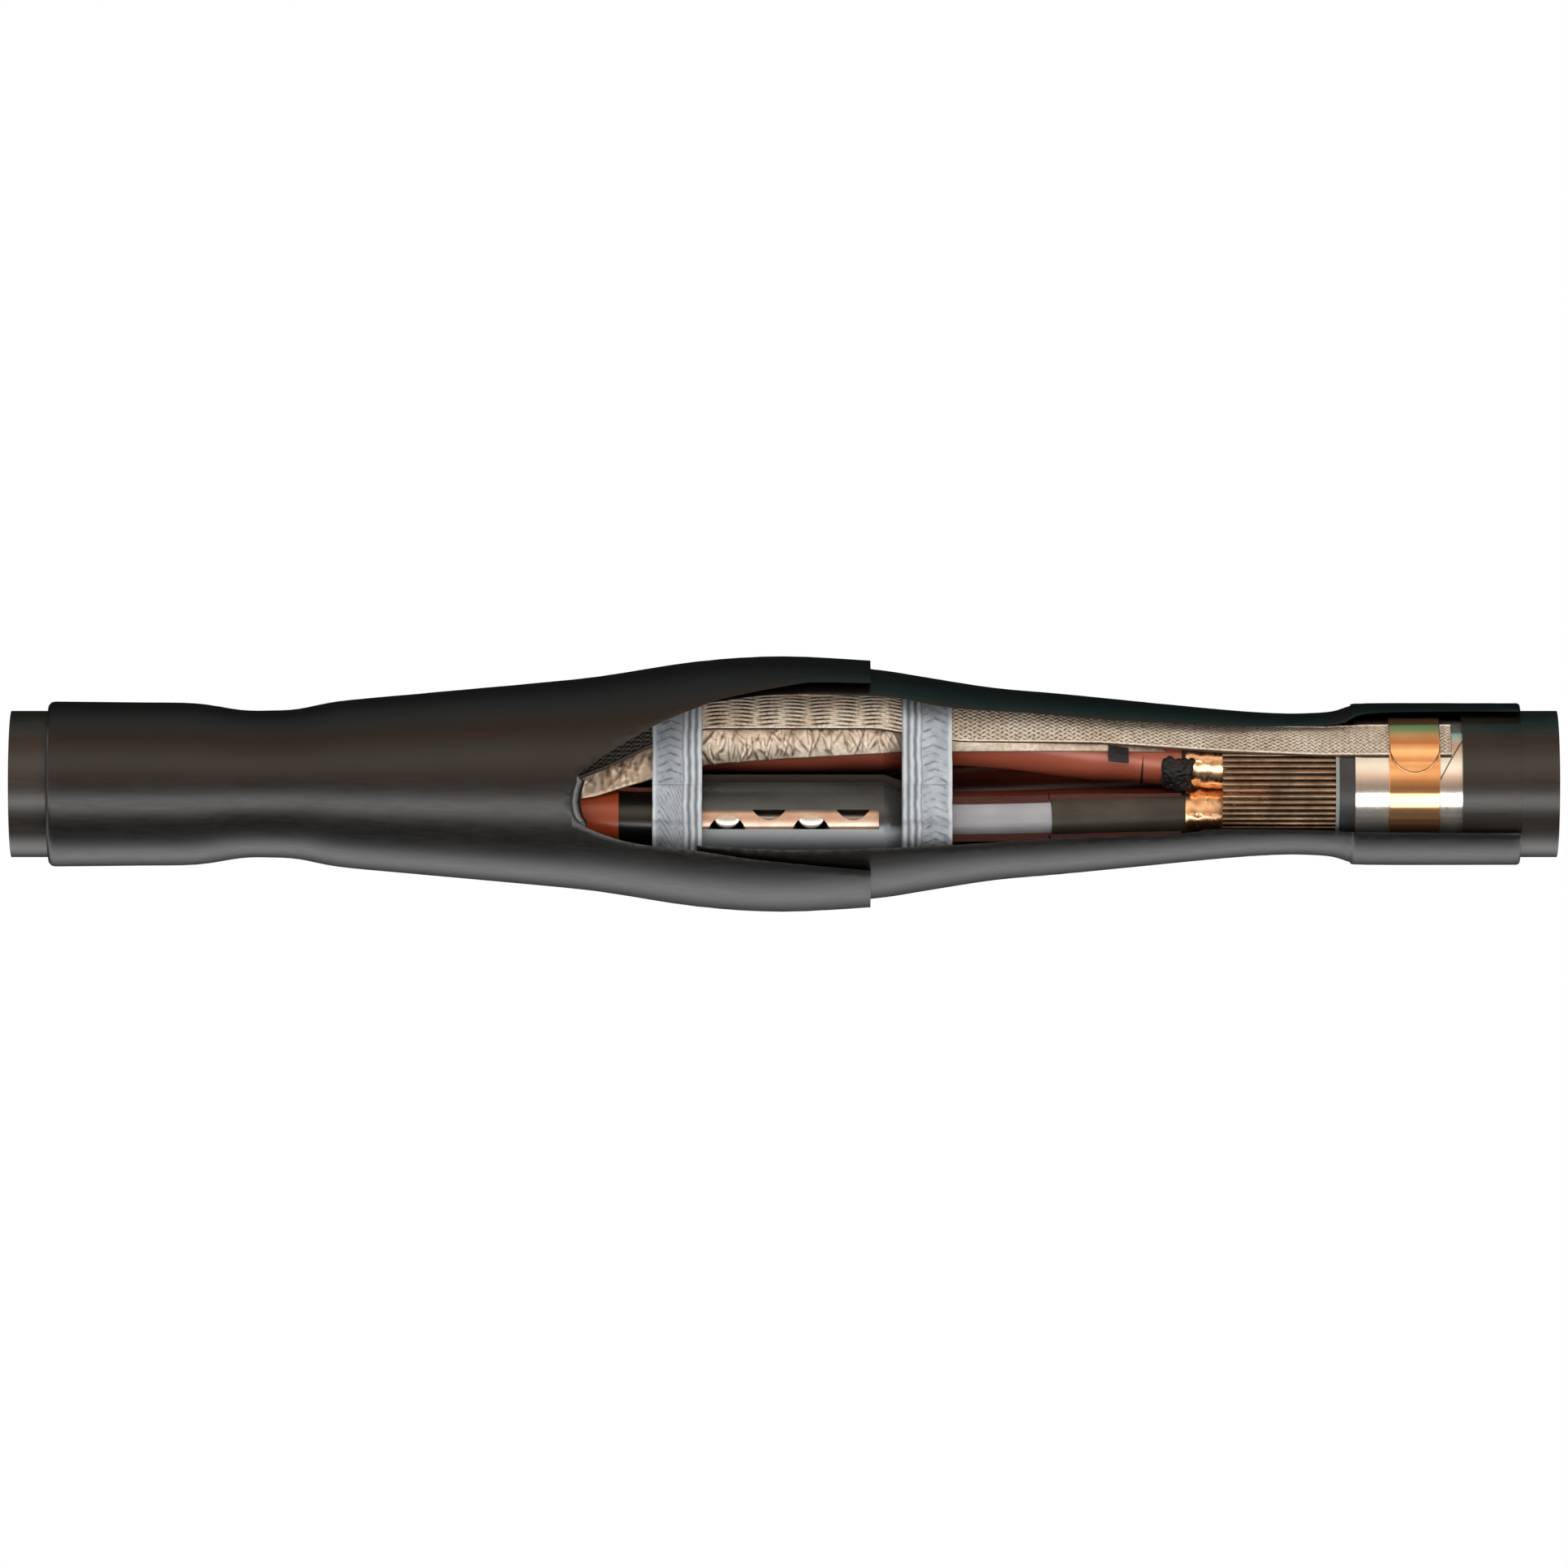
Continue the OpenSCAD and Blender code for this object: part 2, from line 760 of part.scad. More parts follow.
// A sheet of equal numbers of points on each station; closed sheets meet themselves
function sheet_faces(n, m, closed) =
    let (cols = closed ? m : m - 1, back = n * m)
    concat(
        [for (i = [0:n - 2], j = [0:cols - 1])
            let (k = (j + 1) % m)
            each [[i * m + j, i * m + k, (i + 1) * m + j], [i * m + k, (i + 1) * m + k, (i + 1) * m + j]]],
        [for (i = [0:n - 2], j = [0:cols - 1])
            let (k = (j + 1) % m)
            each [[back + i * m + j, back + (i + 1) * m + j, back + i * m + k],
                [back + i * m + k, back + (i + 1) * m + j, back + (i + 1) * m + k]]],
        [for (j = [0:cols - 1])
            let (k = (j + 1) % m)
            each [[j, back + j, k], [k, back + j, back + k]]],
        [for (j = [0:cols - 1])
            let (k = (j + 1) % m, e = (n - 1) * m)
            each [[e + j, e + k, back + e + j], [e + k, back + e + k, back + e + j]]],
        closed ? [] :
        [for (i = [0:n - 2])
            let (a = i * m, b = (i + 1) * m)
            each [[a, b, back + a], [b, back + b, back + a]]],
        closed ? [] :
        [for (i = [0:n - 2])
            let (a = i * m + m - 1, b = (i + 1) * m + m - 1)
            each [[a, back + a, b], [b, back + a, back + b]]]);

// Rows hold [x, y, z] points of the outer face, then of the inner face
module sheet(outer, inner, closed)
{
    points = concat([for (row = outer) each row], [for (row = inner) each row]);
    translate([middle_x, 0, 0])
        polyhedron(points, sheet_faces(len(outer), len(outer[0]), closed));
}
function at(u, p) = [u, p[0], p[1]];

// Lower edge of the copper mesh in the front, as [x from the middle, height]
mesh_edge = [
    [-190, -12], [-102, -8.4], [-67.5, 2.6], [-43, 9.4], [0, 12.5], [57, 15.5], [100, 15.8],
    [150, 15.9], [184, 15.9]];
function edge_height(u) =
    let (i = [for (k = [0:len(mesh_edge) - 2]) if (mesh_edge[k + 1][0] >= u) k][0])
    mesh_edge[i][1] + (mesh_edge[i + 1][1] - mesh_edge[i][1]) * (u - mesh_edge[i][0])
        / (mesh_edge[i + 1][0] - mesh_edge[i][0]);
mesh_from = -190;
mesh_to = 184;
mesh_top_a = 50;
mesh_end_a = 268;
mesh_off = 0.35;
mesh_pitch = 16;
mesh_front_n = 10;
// Direction in which the wrap leaves the lower core for the upper one
function tangent_a(u) =
    let (d = core_at(UPPER, u) - core_at(LOWER, u))
    atan2(d[0], d[1]);
function hugging(u) = min(max((u + 62) / 12, 0), 1);
// Front face of a core at one height, also a little past its top and bottom
function face_of(c, r, z) = c[0] - sqrt(pow(r, 2) - pow(min(abs(z - c[1]), 0.94 * r), 2));
// Front part: stretched across the two cores, or tucked in round the upper one
function mesh_front(u, z, off) =
    let (c = core_at(UPPER, u), d = core_at(LOWER, u), r = tube_out(u) + off,
        high = c + r * facing(tangent_a(u)), low = d + r * facing(tangent_a(u)),
        over = z > high[1] ? face_of(c, r, z) :
            z < low[1] ? face_of(d, r, z) :
            low[0] + (high[0] - low[0]) * (z - low[1]) / (high[1] - low[1]))
    [over + (face_of(c, r, z) - over) * hugging(u), z];
// Angles spread evenly between two, ends included
function spread(from, to, n) = [for (j = [0:n]) from + (to - from) * j / n];
side_room = 1.5;
function mesh_angles(u) =
    let (from = max(mesh_top_a, tangent_a(u) + side_room), top = tangent_a(u) + 120,
        back = min(tangent_a(u) + 240, mesh_end_a - 6))
    concat(spread(from, top - side_room, 8), spread(top + side_room, back - side_room, 11),
        spread(back + side_room, mesh_end_a, 4));
function mesh_row(u, off) =
    let (angles = mesh_angles(u), top = wrap_point(u, angles[0], off), z = edge_height(u))
    concat(
        [for (j = [0:mesh_front_n - 1])
            at(u, mesh_front(u, z + (top[1] - z) * j / mesh_front_n, off))],
        [for (a = angles) at(u, wrap_point(u, a, off))]);

module copper_mesh()
{
    color("burlywood")
        sheet([for (u = stations(mesh_from, mesh_to, mesh_pitch)) mesh_row(u, mesh_off + mesh_t)],
            [for (u = stations(mesh_from, mesh_to, mesh_pitch)) mesh_row(u, mesh_off)], false);
}

// The braid runs from armour to armour over the front of the upper core
braid_a_mid = 35;
braid_a_far = 50;
braid_a_end = 46;
braid_gap = 0.3;
function braid_angle(u) =
    abs(u) < tube_l ? blend(braid_a_mid, braid_a_far, (abs(u) - straight_l) / 85) :
    blend(braid_a_far, braid_a_end, (abs(u) - tube_l) / 40);
function on_mesh(u) =
    (mesh_off + mesh_t)
        * min(max((u - mesh_from) / ramp + 2, 0), 1) * min(max((mesh_to - u) / ramp + 2, 0), 1);
function braid_row(u, off) =
    let (a = braid_angle(u), r = outermost(bundle(u), facing(a))[1] + on_mesh(u),
        half = braid_w / 2 / r * 180 / PI,
        fold = min(max(tangent_a(u), a - half + 8), a + half - 8), rise = on_mesh(u) + braid_gap + off,
        low = wrap_point(u, fold - side_room, rise), high = wrap_point(u, fold + side_room, rise))
    concat(
        [for (b = spread(a - half, fold - side_room, 4)) at(u, wrap_point(u, b, rise))],
        [for (t = [0.25:0.25:0.75]) at(u, low + (high - low) * t)],
        [for (b = spread(fold + side_room, a + half, 4)) at(u, wrap_point(u, b, rise))]);
braid_end_left = sheath_from(LEFT) - 1;
braid_end_right = sheath_from(RIGHT) - 4;
braid_pitch = 16;

module earth_braid()
{
    run = stations(-braid_end_left, braid_end_right, braid_pitch);
    color("silver")
        sheet([for (u = run) braid_row(u, braid_t)], [for (u = run) braid_row(u, 0)], false);
}

// The binding tapes follow the bundle, the mesh and the braid that they hold
strap_n = 60;
function on_braid(u, a) =
    let (off = abs(a - braid_angle(u)),
        half = braid_w / 2 / tube_out(u) * 180 / PI)
    (braid_t + 2 * braid_gap) * min(max((half + 14 - off) / 9, 0), 1);
function strap_point(u, a, off) =
    let (n = facing(a), c = outermost(bundle(u), n))
    c[0] + n * (c[1] + mesh_off + mesh_t + braid_gap + on_braid(u, a) + off);
function strap_row(u, off) =
    [for (j = [0:strap_n - 1]) at(u, strap_point(u, 360 * j / strap_n, off))];

module binding_tape(side)
{
    from = side == LEFT ? -strap_left - strap_w : strap_right;
    run = stations(from, from + strap_w, strap_w);
    color("lightsteelblue")
        sheet([for (u = run) strap_row(u, strap_t)], [for (u = run) strap_row(u, 0)], true);
}

// A roll spring is one strip wound into a flat spiral over armour and braid, its end in the front
spring_gap = 0.08;
spring_end_a = 10;
spring_step = 6;
function spring_off(turned_a) = spring_gap + (spring_t + spring_gap) * turned_a / 360;
function braid_bump(a) =
    let (half = braid_w / 2 / armour_r * 180 / PI, d = abs(a - braid_a_end))
    (braid_t + 2 * braid_gap) * min(max((half + 12 - d) / 9, 0), 1);
// Wound downwards over the front; turned_a is the angle run since the inner end
function spiral_point(turned_a, extra) =
    let (a = (spring_end_a + 360 * spring_turns - turned_a + 180) % 360 - 180)
    facing(a) * (armour_r + braid_bump(a) + spring_off(turned_a) + extra);
function spring_from(side) = armour_from(side) + (side == LEFT ? 3.7 : 16.5);

module spring_strip(from_a, to_a)
{
    outline = concat(
        [for (a = [from_a:spring_step:to_a]) spiral_point(a, 0)],
        [for (a = [to_a:-spring_step:from_a]) spiral_point(a, spring_t)]);
    rotate([90, 0, 90])
        linear_extrude(spring_w)
            polygon(outline);
}

// Corners that leave the outer end of the strip round
module round_end()
{
    r = spring_w / 2;
    end_z = sin(spring_end_a) * (armour_r + 2);
    translate([r, 0, end_z + r])
        rotate([90, 0, 0])
            linear_extrude(past)
                difference()
                {
                    translate([-r - 1, -r - 5])
                        square([2 * r + 2, r + 5]);
                    circle(r);
                }
}

module roll_spring(side)
{
    all_a = 360 * spring_turns;
    last_a = 72;
    color("darkorange")
        cable_frame(side)
            translate([spring_from(side), 0, 0])
            {
                spring_strip(0, all_a - last_a + spring_step);
                difference()
                {
                    spring_strip(all_a - last_a, all_a);
                    round_end();
                }
            }
}

// Pieces laid on the front of the upper core
patch_low_a = -18;
patch_high_a = 9;
function patch_row(u, low, high, n, off) =
    [for (j = [0:n]) at(u, core_at(UPPER, u) + facing(low + (high - low) * j / n) * (tube_out(u) + off))];

module mastic_patch()
{
    stations = [156, 161, 166];
    off = mesh_off + mesh_t + 0.1;
    color("black")
        sheet([for (u = stations) patch_row(u, patch_low_a, patch_high_a, 4, off + 0.8)],
            [for (u = stations) patch_row(u, patch_low_a, patch_high_a, 4, off)], false);
}

// Sealing mastic pressed over the end of the upper tube, clear of the cores behind it, as [x, radii]
bead_low_a = -72;
bead_n = 8;
bead_high_a = 0;
function bead_row(u, r) =
    [for (j = [0:bead_n]) at(u, core_at(UPPER, u) + facing(blend(bead_low_a, bead_high_a, j / bead_n)) * r)];
bead_rows = [
    [tube_l - 9, tube_r_far + 0.1, tube_r_far + 0.5], [tube_l - 5, tube_r_far + 0.1, tube_r_far + 1.4],
    [tube_l + 0.1, tube_r_far + 0.1, tube_r_far + 1.6], [tube_l + 0.5, core_r + 0.1, tube_r_far + 1.5],
    [tube_l + 5, core_r + 0.1, core_r + 0.5]];

module mastic_bead()
{
    color("black")
        sheet([for (b = bead_rows) bead_row(b[0], b[2])], [for (b = bead_rows) bead_row(b[0], b[1])], false);
}

for (s = SIDES, p = [UPPER:REAR])
{
    name = str(side_name(s), "_", PHASES[p]);
    conductor(p, s);
    insulation(p, s);
    core_screen(p, s);
    copper_tape(p, s);
}
for (p = [UPPER:REAR])
{
    connector(p);
    stress_tube(p);
    insulating_tube(p);
}
for (s = SIDES)
{
    core_filler(s);
    screen_wires(s);
    bedding(s);
    armour_tape(s);
    cable_sheath(s);
    roll_spring(s);
    binding_tape(s);
    sealing_mastic(s);
    outer_jacket(s);
}
shear_bolts();
copper_mesh();
earth_braid();
mastic_patch();
mastic_bead();
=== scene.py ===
import json
import math

import bmesh
import bpy
import numpy as np
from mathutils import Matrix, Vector
from mathutils.bvhtree import BVHTree


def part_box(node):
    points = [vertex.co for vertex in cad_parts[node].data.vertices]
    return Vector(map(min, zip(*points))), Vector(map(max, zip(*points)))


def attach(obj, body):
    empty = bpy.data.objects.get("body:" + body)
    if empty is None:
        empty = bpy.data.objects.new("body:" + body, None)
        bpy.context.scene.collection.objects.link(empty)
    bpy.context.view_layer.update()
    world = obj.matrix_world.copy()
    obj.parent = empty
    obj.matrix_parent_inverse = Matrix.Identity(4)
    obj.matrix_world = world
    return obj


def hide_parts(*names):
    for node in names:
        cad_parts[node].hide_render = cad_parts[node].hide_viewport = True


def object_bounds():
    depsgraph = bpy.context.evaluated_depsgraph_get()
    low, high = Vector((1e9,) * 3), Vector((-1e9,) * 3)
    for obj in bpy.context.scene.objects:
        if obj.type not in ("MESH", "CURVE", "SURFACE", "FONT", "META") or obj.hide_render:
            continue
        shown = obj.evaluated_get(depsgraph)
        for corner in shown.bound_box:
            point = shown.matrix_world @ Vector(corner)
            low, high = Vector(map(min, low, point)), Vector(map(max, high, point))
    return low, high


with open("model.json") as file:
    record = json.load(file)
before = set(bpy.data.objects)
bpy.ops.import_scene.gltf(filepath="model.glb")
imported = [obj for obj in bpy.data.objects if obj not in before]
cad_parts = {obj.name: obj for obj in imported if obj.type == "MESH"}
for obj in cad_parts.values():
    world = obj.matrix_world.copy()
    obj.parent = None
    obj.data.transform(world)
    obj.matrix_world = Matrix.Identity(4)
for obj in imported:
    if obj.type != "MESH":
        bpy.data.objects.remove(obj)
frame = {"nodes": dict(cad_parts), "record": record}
nodes = frame["nodes"]
cad_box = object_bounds()

MM = 0.001
CORES = ("upper", "lower", "rear")
SIDES = ("left", "right")
MIDDLE = sum(corner.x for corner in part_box("connector_lower")) / 2
LENGTH = cad_box[1].x - cad_box[0].x
# The armour's lap line: its advance in one turn, and where it crosses the front
LAP_LEAD = 0.107
LAP_START = 0.317
# Half the width of a roll spring, whose strip ends in a half circle
SPRING_R = (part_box("roll_spring_right")[1].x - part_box("roll_spring_right")[0].x) / 2


# Shader building blocks


def srgb(color):
    """The linear colour that a shader takes, from a colour as it is seen, from 0 to 255."""
    return tuple((v / 255 / 12.92) if v < 10.3 else ((v / 255 + 0.055) / 1.055) ** 2.4 for v in color)


class Shader:
    """One material's node tree, with short calls for the nodes that the finishes share."""

    def __init__(self, name, color=None):
        self.color = color
        self.material = bpy.data.materials.new(name)
        self.material.use_nodes = True
        self.tree = self.material.node_tree
        self.bsdf = self.tree.nodes["Principled BSDF"]
        self.coords = self.tree.nodes.new("ShaderNodeTexCoord")

    def link(self, source, target):
        self.tree.links.new(source, target)

    def put(self, socket, value):
        """Links another socket to this one or sets its value; a colour also gets its alpha."""
        if isinstance(value, bpy.types.NodeSocket):
            self.link(value, socket)
        else:
            socket.default_value = (*value, 1) if socket.type == "RGBA" else value

    def fill(self, node, **values):
        """Puts each value in the input of its name, with _ for a space."""
        for name, value in values.items():
            self.put(node.inputs[name.replace("_", " ")], value)
        return node

    def node(self, kind, **values):
        return self.fill(self.tree.nodes.new("ShaderNode" + kind), **values)

    def place(self, stretch=(1, 1, 1), uv=False):
        source = self.coords.outputs["UV" if uv else "Object"]
        return self.node("Mapping", Vector=source, Scale=stretch).outputs["Vector"]

    def axes(self, uv=False):
        return self.node("SeparateXYZ", Vector=self.place(uv=uv)).outputs

    def turn(self):
        """Place along the cable, and angle round it in radians; 0 is towards the viewer."""
        x, y, z = self.axes()
        return x, self.math("ARCTAN2", z, self.times(y, -1.0))

    def noise(self, scale, detail, rough, stretch=(1, 1, 1)):
        sizes = {"Scale": scale, "Detail": detail, "Roughness": rough}
        return self.node("TexNoise", Vector=self.place(stretch), **sizes).outputs["Fac"]

    def math(self, kind, a, b=0.0):
        node = self.node("Math")
        node.operation = kind
        self.put(node.inputs[0], a)
        self.put(node.inputs[1], b)
        return node.outputs[0]

    def times(self, a, b):
        return self.math("MULTIPLY", a, b)

    def plus(self, a, b):
        return self.math("ADD", a, b)

    def minus(self, a, b):
        return self.math("SUBTRACT", a, b)

    def away(self, value, middle):
        return self.math("ABSOLUTE", self.minus(value, middle))

    def wave(self, value, pitch, shift=0.0):
        """A sine wave, from -1 to 1, whose crests lie a pitch apart."""
        return self.math("SINE", self.plus(self.times(value, 2 * math.pi / pitch), shift))

    def span(self, value, low, high, to_low=0.0, to_high=1.0):
        ends = {"From_Min": low, "From_Max": high, "To_Min": to_low, "To_Max": to_high}
        return self.node("MapRange", Value=value, **ends).outputs["Result"]

    def mix(self, share, a, b):
        """Blends two colours, each one a socket or given as it is seen."""
        node = self.node("Mix")
        node.data_type = "RGBA"
        self.put(node.inputs[0], share)
        for number, color in ((6, a), (7, b)):
            self.put(node.inputs[number], srgb(color) if isinstance(color, tuple) else color)
        return node.outputs[2]

    def tint(self, color, value, low=None, high=None, most=1.0):
        """Covers the colour so far by the value, or from nothing at low to the most at high."""
        share = value if low is None else self.span(value, low, high, 0, most)
        self.color = self.mix(share, self.color, color)

    def finish(self, rough, *bumps, metallic=0.0, specular=0.5, sheen=0.0):
        """Each bump is a height, its depth in millimetres and its strength."""
        self.fill(self.bsdf, Base_Color=self.color, Roughness=rough, Metallic=metallic)
        self.fill(self.bsdf, Specular_IOR_Level=specular, Sheen_Weight=sheen)
        target = self.bsdf
        for height, depth, strength in reversed(bumps):
            node = self.node("Bump", Height=height, Distance=depth * MM, Strength=strength)
            self.link(node.outputs["Normal"], target.inputs["Normal"])
            target = node
        return self.material


# Finishes


def shrunk_polymer(name, dark, light, rough, streak=9.0):
    """Heat shrunk tube: faint streaks along the cable, cloudy patches and orange peel."""
    s = Shader(name, dark)
    streaks = s.noise(9, 3, 0.6, (streak, 60, 60))
    s.tint(light, s.noise(14, 4, 0.55), 0.35, 0.7)
    s.tint(light, streaks, 0.45, 0.75, 0.4)
    roughness = s.span(streaks, 0.3, 0.75, rough - 0.04, rough + 0.06)
    peel = (s.noise(900, 2, 0.5), 0.03, 0.2)
    waves = (s.noise(20, 2, 0.4, (1, 2, 2)), 1.0, 0.16)
    return s.finish(roughness, peel, waves, specular=0.57)


def drawn_wall(name, dark, light, scuffed):
    """A tube's wall with soft changes of tone, and the scuffs along its length."""
    s = Shader(name, dark)
    s.tint(light, s.noise(45, 4, 0.5, (0.5, 1, 1)), 0.3, 0.72)
    scuffs = s.noise(60, 5, 0.7, (0.25, 5, 5))
    s.tint(scuffed, scuffs, 0.55, 0.8, 0.3)
    return s, scuffs


def smooth_polymer(name, dark, light, rough, gloss):
    s, scuffs = drawn_wall(name, dark, light, light)
    roughness = s.span(scuffs, 0.3, 0.8, rough - 0.05, rough + 0.12)
    return s.finish(roughness, (s.noise(260, 3, 0.5, (0.4, 1, 1)), 0.12, 0.4), specular=gloss)


def drawn_metal(name, dark, light, rough, grain=(0.2, 1, 1), fine=700.0, dents=0.25, stain=0.5):
    """Rolled or drawn metal: a grain, handling dents and a stain that comes and goes."""
    s = Shader(name, light)
    stains = s.noise(70, 5, 0.6)
    lines = s.noise(fine, 2, 0.5, grain)
    s.tint(dark, stains, 0.3, 0.7, stain)
    roughness = s.span(s.plus(lines, stains), 0.7, 1.3, rough - 0.07, rough + 0.1)
    dented = (s.noise(120, 3, 0.5), 0.5, dents)
    return s.finish(roughness, (lines, 0.04, 0.5), dented, metallic=1.0)


def knitted_metal(name):
    """Rows of knitted loops, with a painted highlight on the folds and painted shade in the hollows."""
    s = Shader(name, (202, 184, 162))
    u, v, _ = s.axes(uv=True)
    loops = s.wave(v, 0.95 * MM)
    knit = s.times(loops, s.wave(u, 1.05 * MM, s.times(loops, 0.4)))
    specks = s.noise(420, 3, 0.7)
    # Pointiness is above one half on ridges and below it in hollows
    folds = s.span(s.node("NewGeometry").outputs["Pointiness"], 0.46, 0.54)
    s.tint((244, 232, 214), s.noise(70, 5, 0.65), 0.32, 0.68)
    s.tint((140, 108, 88), specks, 0.62, 0.42, 0.4)
    s.tint((128, 98, 80), knit, 0.2, -1, 0.35)
    # Painted shade in the hollows and a painted highlight on the ridges, read from the pointiness
    s.tint((96, 72, 58), folds, 0.5, 0, 0.75)
    s.tint((255, 240, 222), folds, 0.5, 1, 0.55)
    rough = s.span(specks, 0.3, 0.7, 0.3, 0.48)
    return s.finish(rough, (knit, 0.1, 0.5), (specks, 0.2, 0.35), metallic=0.8)


def braided_metal(name):
    """One carrier of tinned wires, with painted shade down its sides and a painted shadow over the braid
    left of the left tape.
    """
    s = Shader(name, (232, 208, 182))
    _, v, _ = s.axes(uv=True)
    x, _, _ = s.axes()
    specks = s.noise(520, 3, 0.7)
    s.tint((252, 238, 216), s.noise(60, 4, 0.6), 0.35, 0.65)
    s.tint((170, 140, 114), specks, 0.5, 0.38, 0.6)
    # Painted shade down each carrier's sides, where the gaps between carriers fall dark
    s.tint((88, 68, 55), s.away(v, 0), 0.66 * MM, 0.92 * MM, 0.6)
    # Painted shadow: the braid in the gap left of the left tape, under the jacket's edge, is made almost
    # black
    s.tint((20, 15, 13), x, MIDDLE - 0.066, MIDDLE - 0.068, 0.92)
    rough = s.span(specks, 0.3, 0.7, 0.3, 0.46)
    return s.finish(rough, (s.wave(v, 0.3 * MM), 0.08, 0.7), metallic=0.15)


def cut_wall(name):
    """The jacket's slanted cut: painted grey as a lit face of the black jacket, with painted shade as dark
    lines along both edges.
    """
    # Painted highlight: grey stands in for the light caught on the cut face of the black jacket
    s = Shader(name, (74, 75, 77))
    u, _, _ = s.axes(uv=True)
    clouds = s.noise(120, 4, 0.6)
    s.tint((150, 151, 153), clouds)
    # Painted shade: dark lines along both edges of the cut
    s.tint((10, 9, 9), s.away(u, 0.5), 0.18, 0.3, 0.95)
    return s.finish(0.45, (clouds, 0.3, 0.3), specular=0.4)


def woven_tape(name):
    """Woven tape; v counts from its ribbed edge, and arched rows of marks cross the rest."""
    s = Shader(name, (168, 174, 180))
    u, v, _ = s.axes(uv=True)
    bow = s.times(s.away(v, 15.5 * MM), 0.45)
    wobble = s.times(s.noise(60, 2, 0.5), 3 * MM)
    rows = s.wave(s.plus(s.plus(u, bow), wobble), 4.2 * MM)
    inside = s.times(s.span(v, 9.6 * MM, 10.6 * MM), s.span(v, 22.4 * MM, 21.4 * MM))
    broken = s.span(s.noise(240, 3, 0.6), 0.38, 0.6)
    marks = s.times(s.times(s.span(rows, 0.25, 0.95), inside), broken)
    weave = s.times(s.wave(u, 0.85 * MM), s.wave(v, 0.75 * MM))
    ribs = s.times(s.wave(v, 3.5 * MM, -0.58), s.span(v, 9.9 * MM, 9.4 * MM))
    s.tint((216, 220, 226), s.noise(130, 5, 0.7), 0.3, 0.7)
    s.tint((120, 127, 136), weave, 0.4, -1, 0.3)
    s.tint((104, 112, 118), s.times(marks, 0.75))
    # Painted highlight on the rib crests and painted shade in the grooves between them
    s.tint((240, 243, 245), ribs, 0, 0.9, 0.6)
    s.tint((92, 100, 106), ribs, 0, -0.8, 0.7)
    # Painted highlight along the tape's raised far edge
    s.tint((240, 243, 245), v, 22.4 * MM, 23.2 * MM, 0.6)
    bumps = ((weave, 0.14, 0.6), (marks, -0.3, 0.6), (s.noise(1500, 2, 0.6), 0.08, 0.4))
    return s.finish(0.72, *bumps, specular=0.3, sheen=0.1)


def lapped_steel(name):
    """Steel tape, with the line where one turn laps over the next."""
    s = Shader(name, (244, 238, 228))
    x, angle = s.turn()
    turned = s.times(angle, LAP_LEAD / (2 * math.pi))
    run = s.minus(s.minus(x, turned), MIDDLE + LAP_START)
    # The whole turns that are added keep the number above zero
    share = s.math("FRACT", s.plus(s.math("DIVIDE", run, LAP_LEAD), 10.0))
    stains = s.noise(70, 5, 0.6)
    lines = s.noise(500, 2, 0.5, (3, 0.3, 0.3))
    s.tint((196, 182, 164), stains, 0.3, 0.7, 0.3)
    s.tint((52, 44, 38), share, 0.009, 0.005, 0.85)
    roughness = s.span(s.plus(lines, stains), 0.7, 1.3, 0.1, 0.19)
    bumps = ((lines, 0.03, 0.4), (s.noise(90, 3, 0.5), 0.5, 0.16), (s.times(share, -1.0), 0.8, 0.6))
    return s.finish(roughness, *bumps, metallic=0.84)


def cut_bedding(name):
    """Black bedding whose cut rim beside the screen wires has a pale painted highlight."""
    s = Shader(name, (34, 34, 34))
    x, _, _ = s.axes()
    clouds = s.noise(80, 4, 0.6)
    from_rim = s.minus(x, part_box("bedding_right")[0].x)
    pale = s.times(s.span(from_rim, 1.9 * MM, 1.4 * MM), s.span(from_rim, -0.5 * MM, 0.0))
    s.tint((70, 69, 70), clouds)
    # Painted highlight: the cut rim is made pale where it would catch the light
    s.tint((150, 156, 150), s.times(pale, 0.9))
    return s.finish(0.4, (clouds, 0.4, 0.3), specular=0.4)


def red_tube(name):
    """Brick red insulating tube: orange at its left end; painted shade under the upper tube between the
    tapes and low at its right, and a painted highlight on top at its right.
    """
    s, scuffs = drawn_wall(name, (100, 38, 22), (146, 70, 46), (160, 82, 58))
    x, _, z = s.axes()
    s.tint((162, 66, 28), x, MIDDLE - 0.079, MIDDLE - 0.086, 0.85)
    between = s.times(s.span(x, MIDDLE - 0.06, MIDDLE - 0.05), s.span(x, MIDDLE + 0.066, MIDDLE + 0.058))
    # Painted shade on the upper tube's underside, between the tapes
    s.tint((12, 4, 3), s.times(between, s.span(z, 11 * MM, 6 * MM)))
    top = s.times(s.span(x, MIDDLE + 0.07, MIDDLE + 0.085), s.span(z, 2 * MM, 8 * MM, 0, 0.75))
    # Painted highlight: the upper part of the tube is made paler at its right
    s.tint((192, 98, 72), top)
    low = s.times(s.span(x, MIDDLE + 0.062, MIDDLE + 0.07), s.span(z, 3 * MM, -1 * MM, 0, 0.85))
    # Painted shade: the low red parts at the right, behind and under the upper tube, are made dark maroon
    s.tint((48, 14, 12), low)
    rough = s.span(scuffs, 0.3, 0.8, 0.24, 0.4)
    return s.finish(rough, (s.noise(260, 3, 0.5, (0.4, 1, 1)), 0.12, 0.4), specular=0.6)


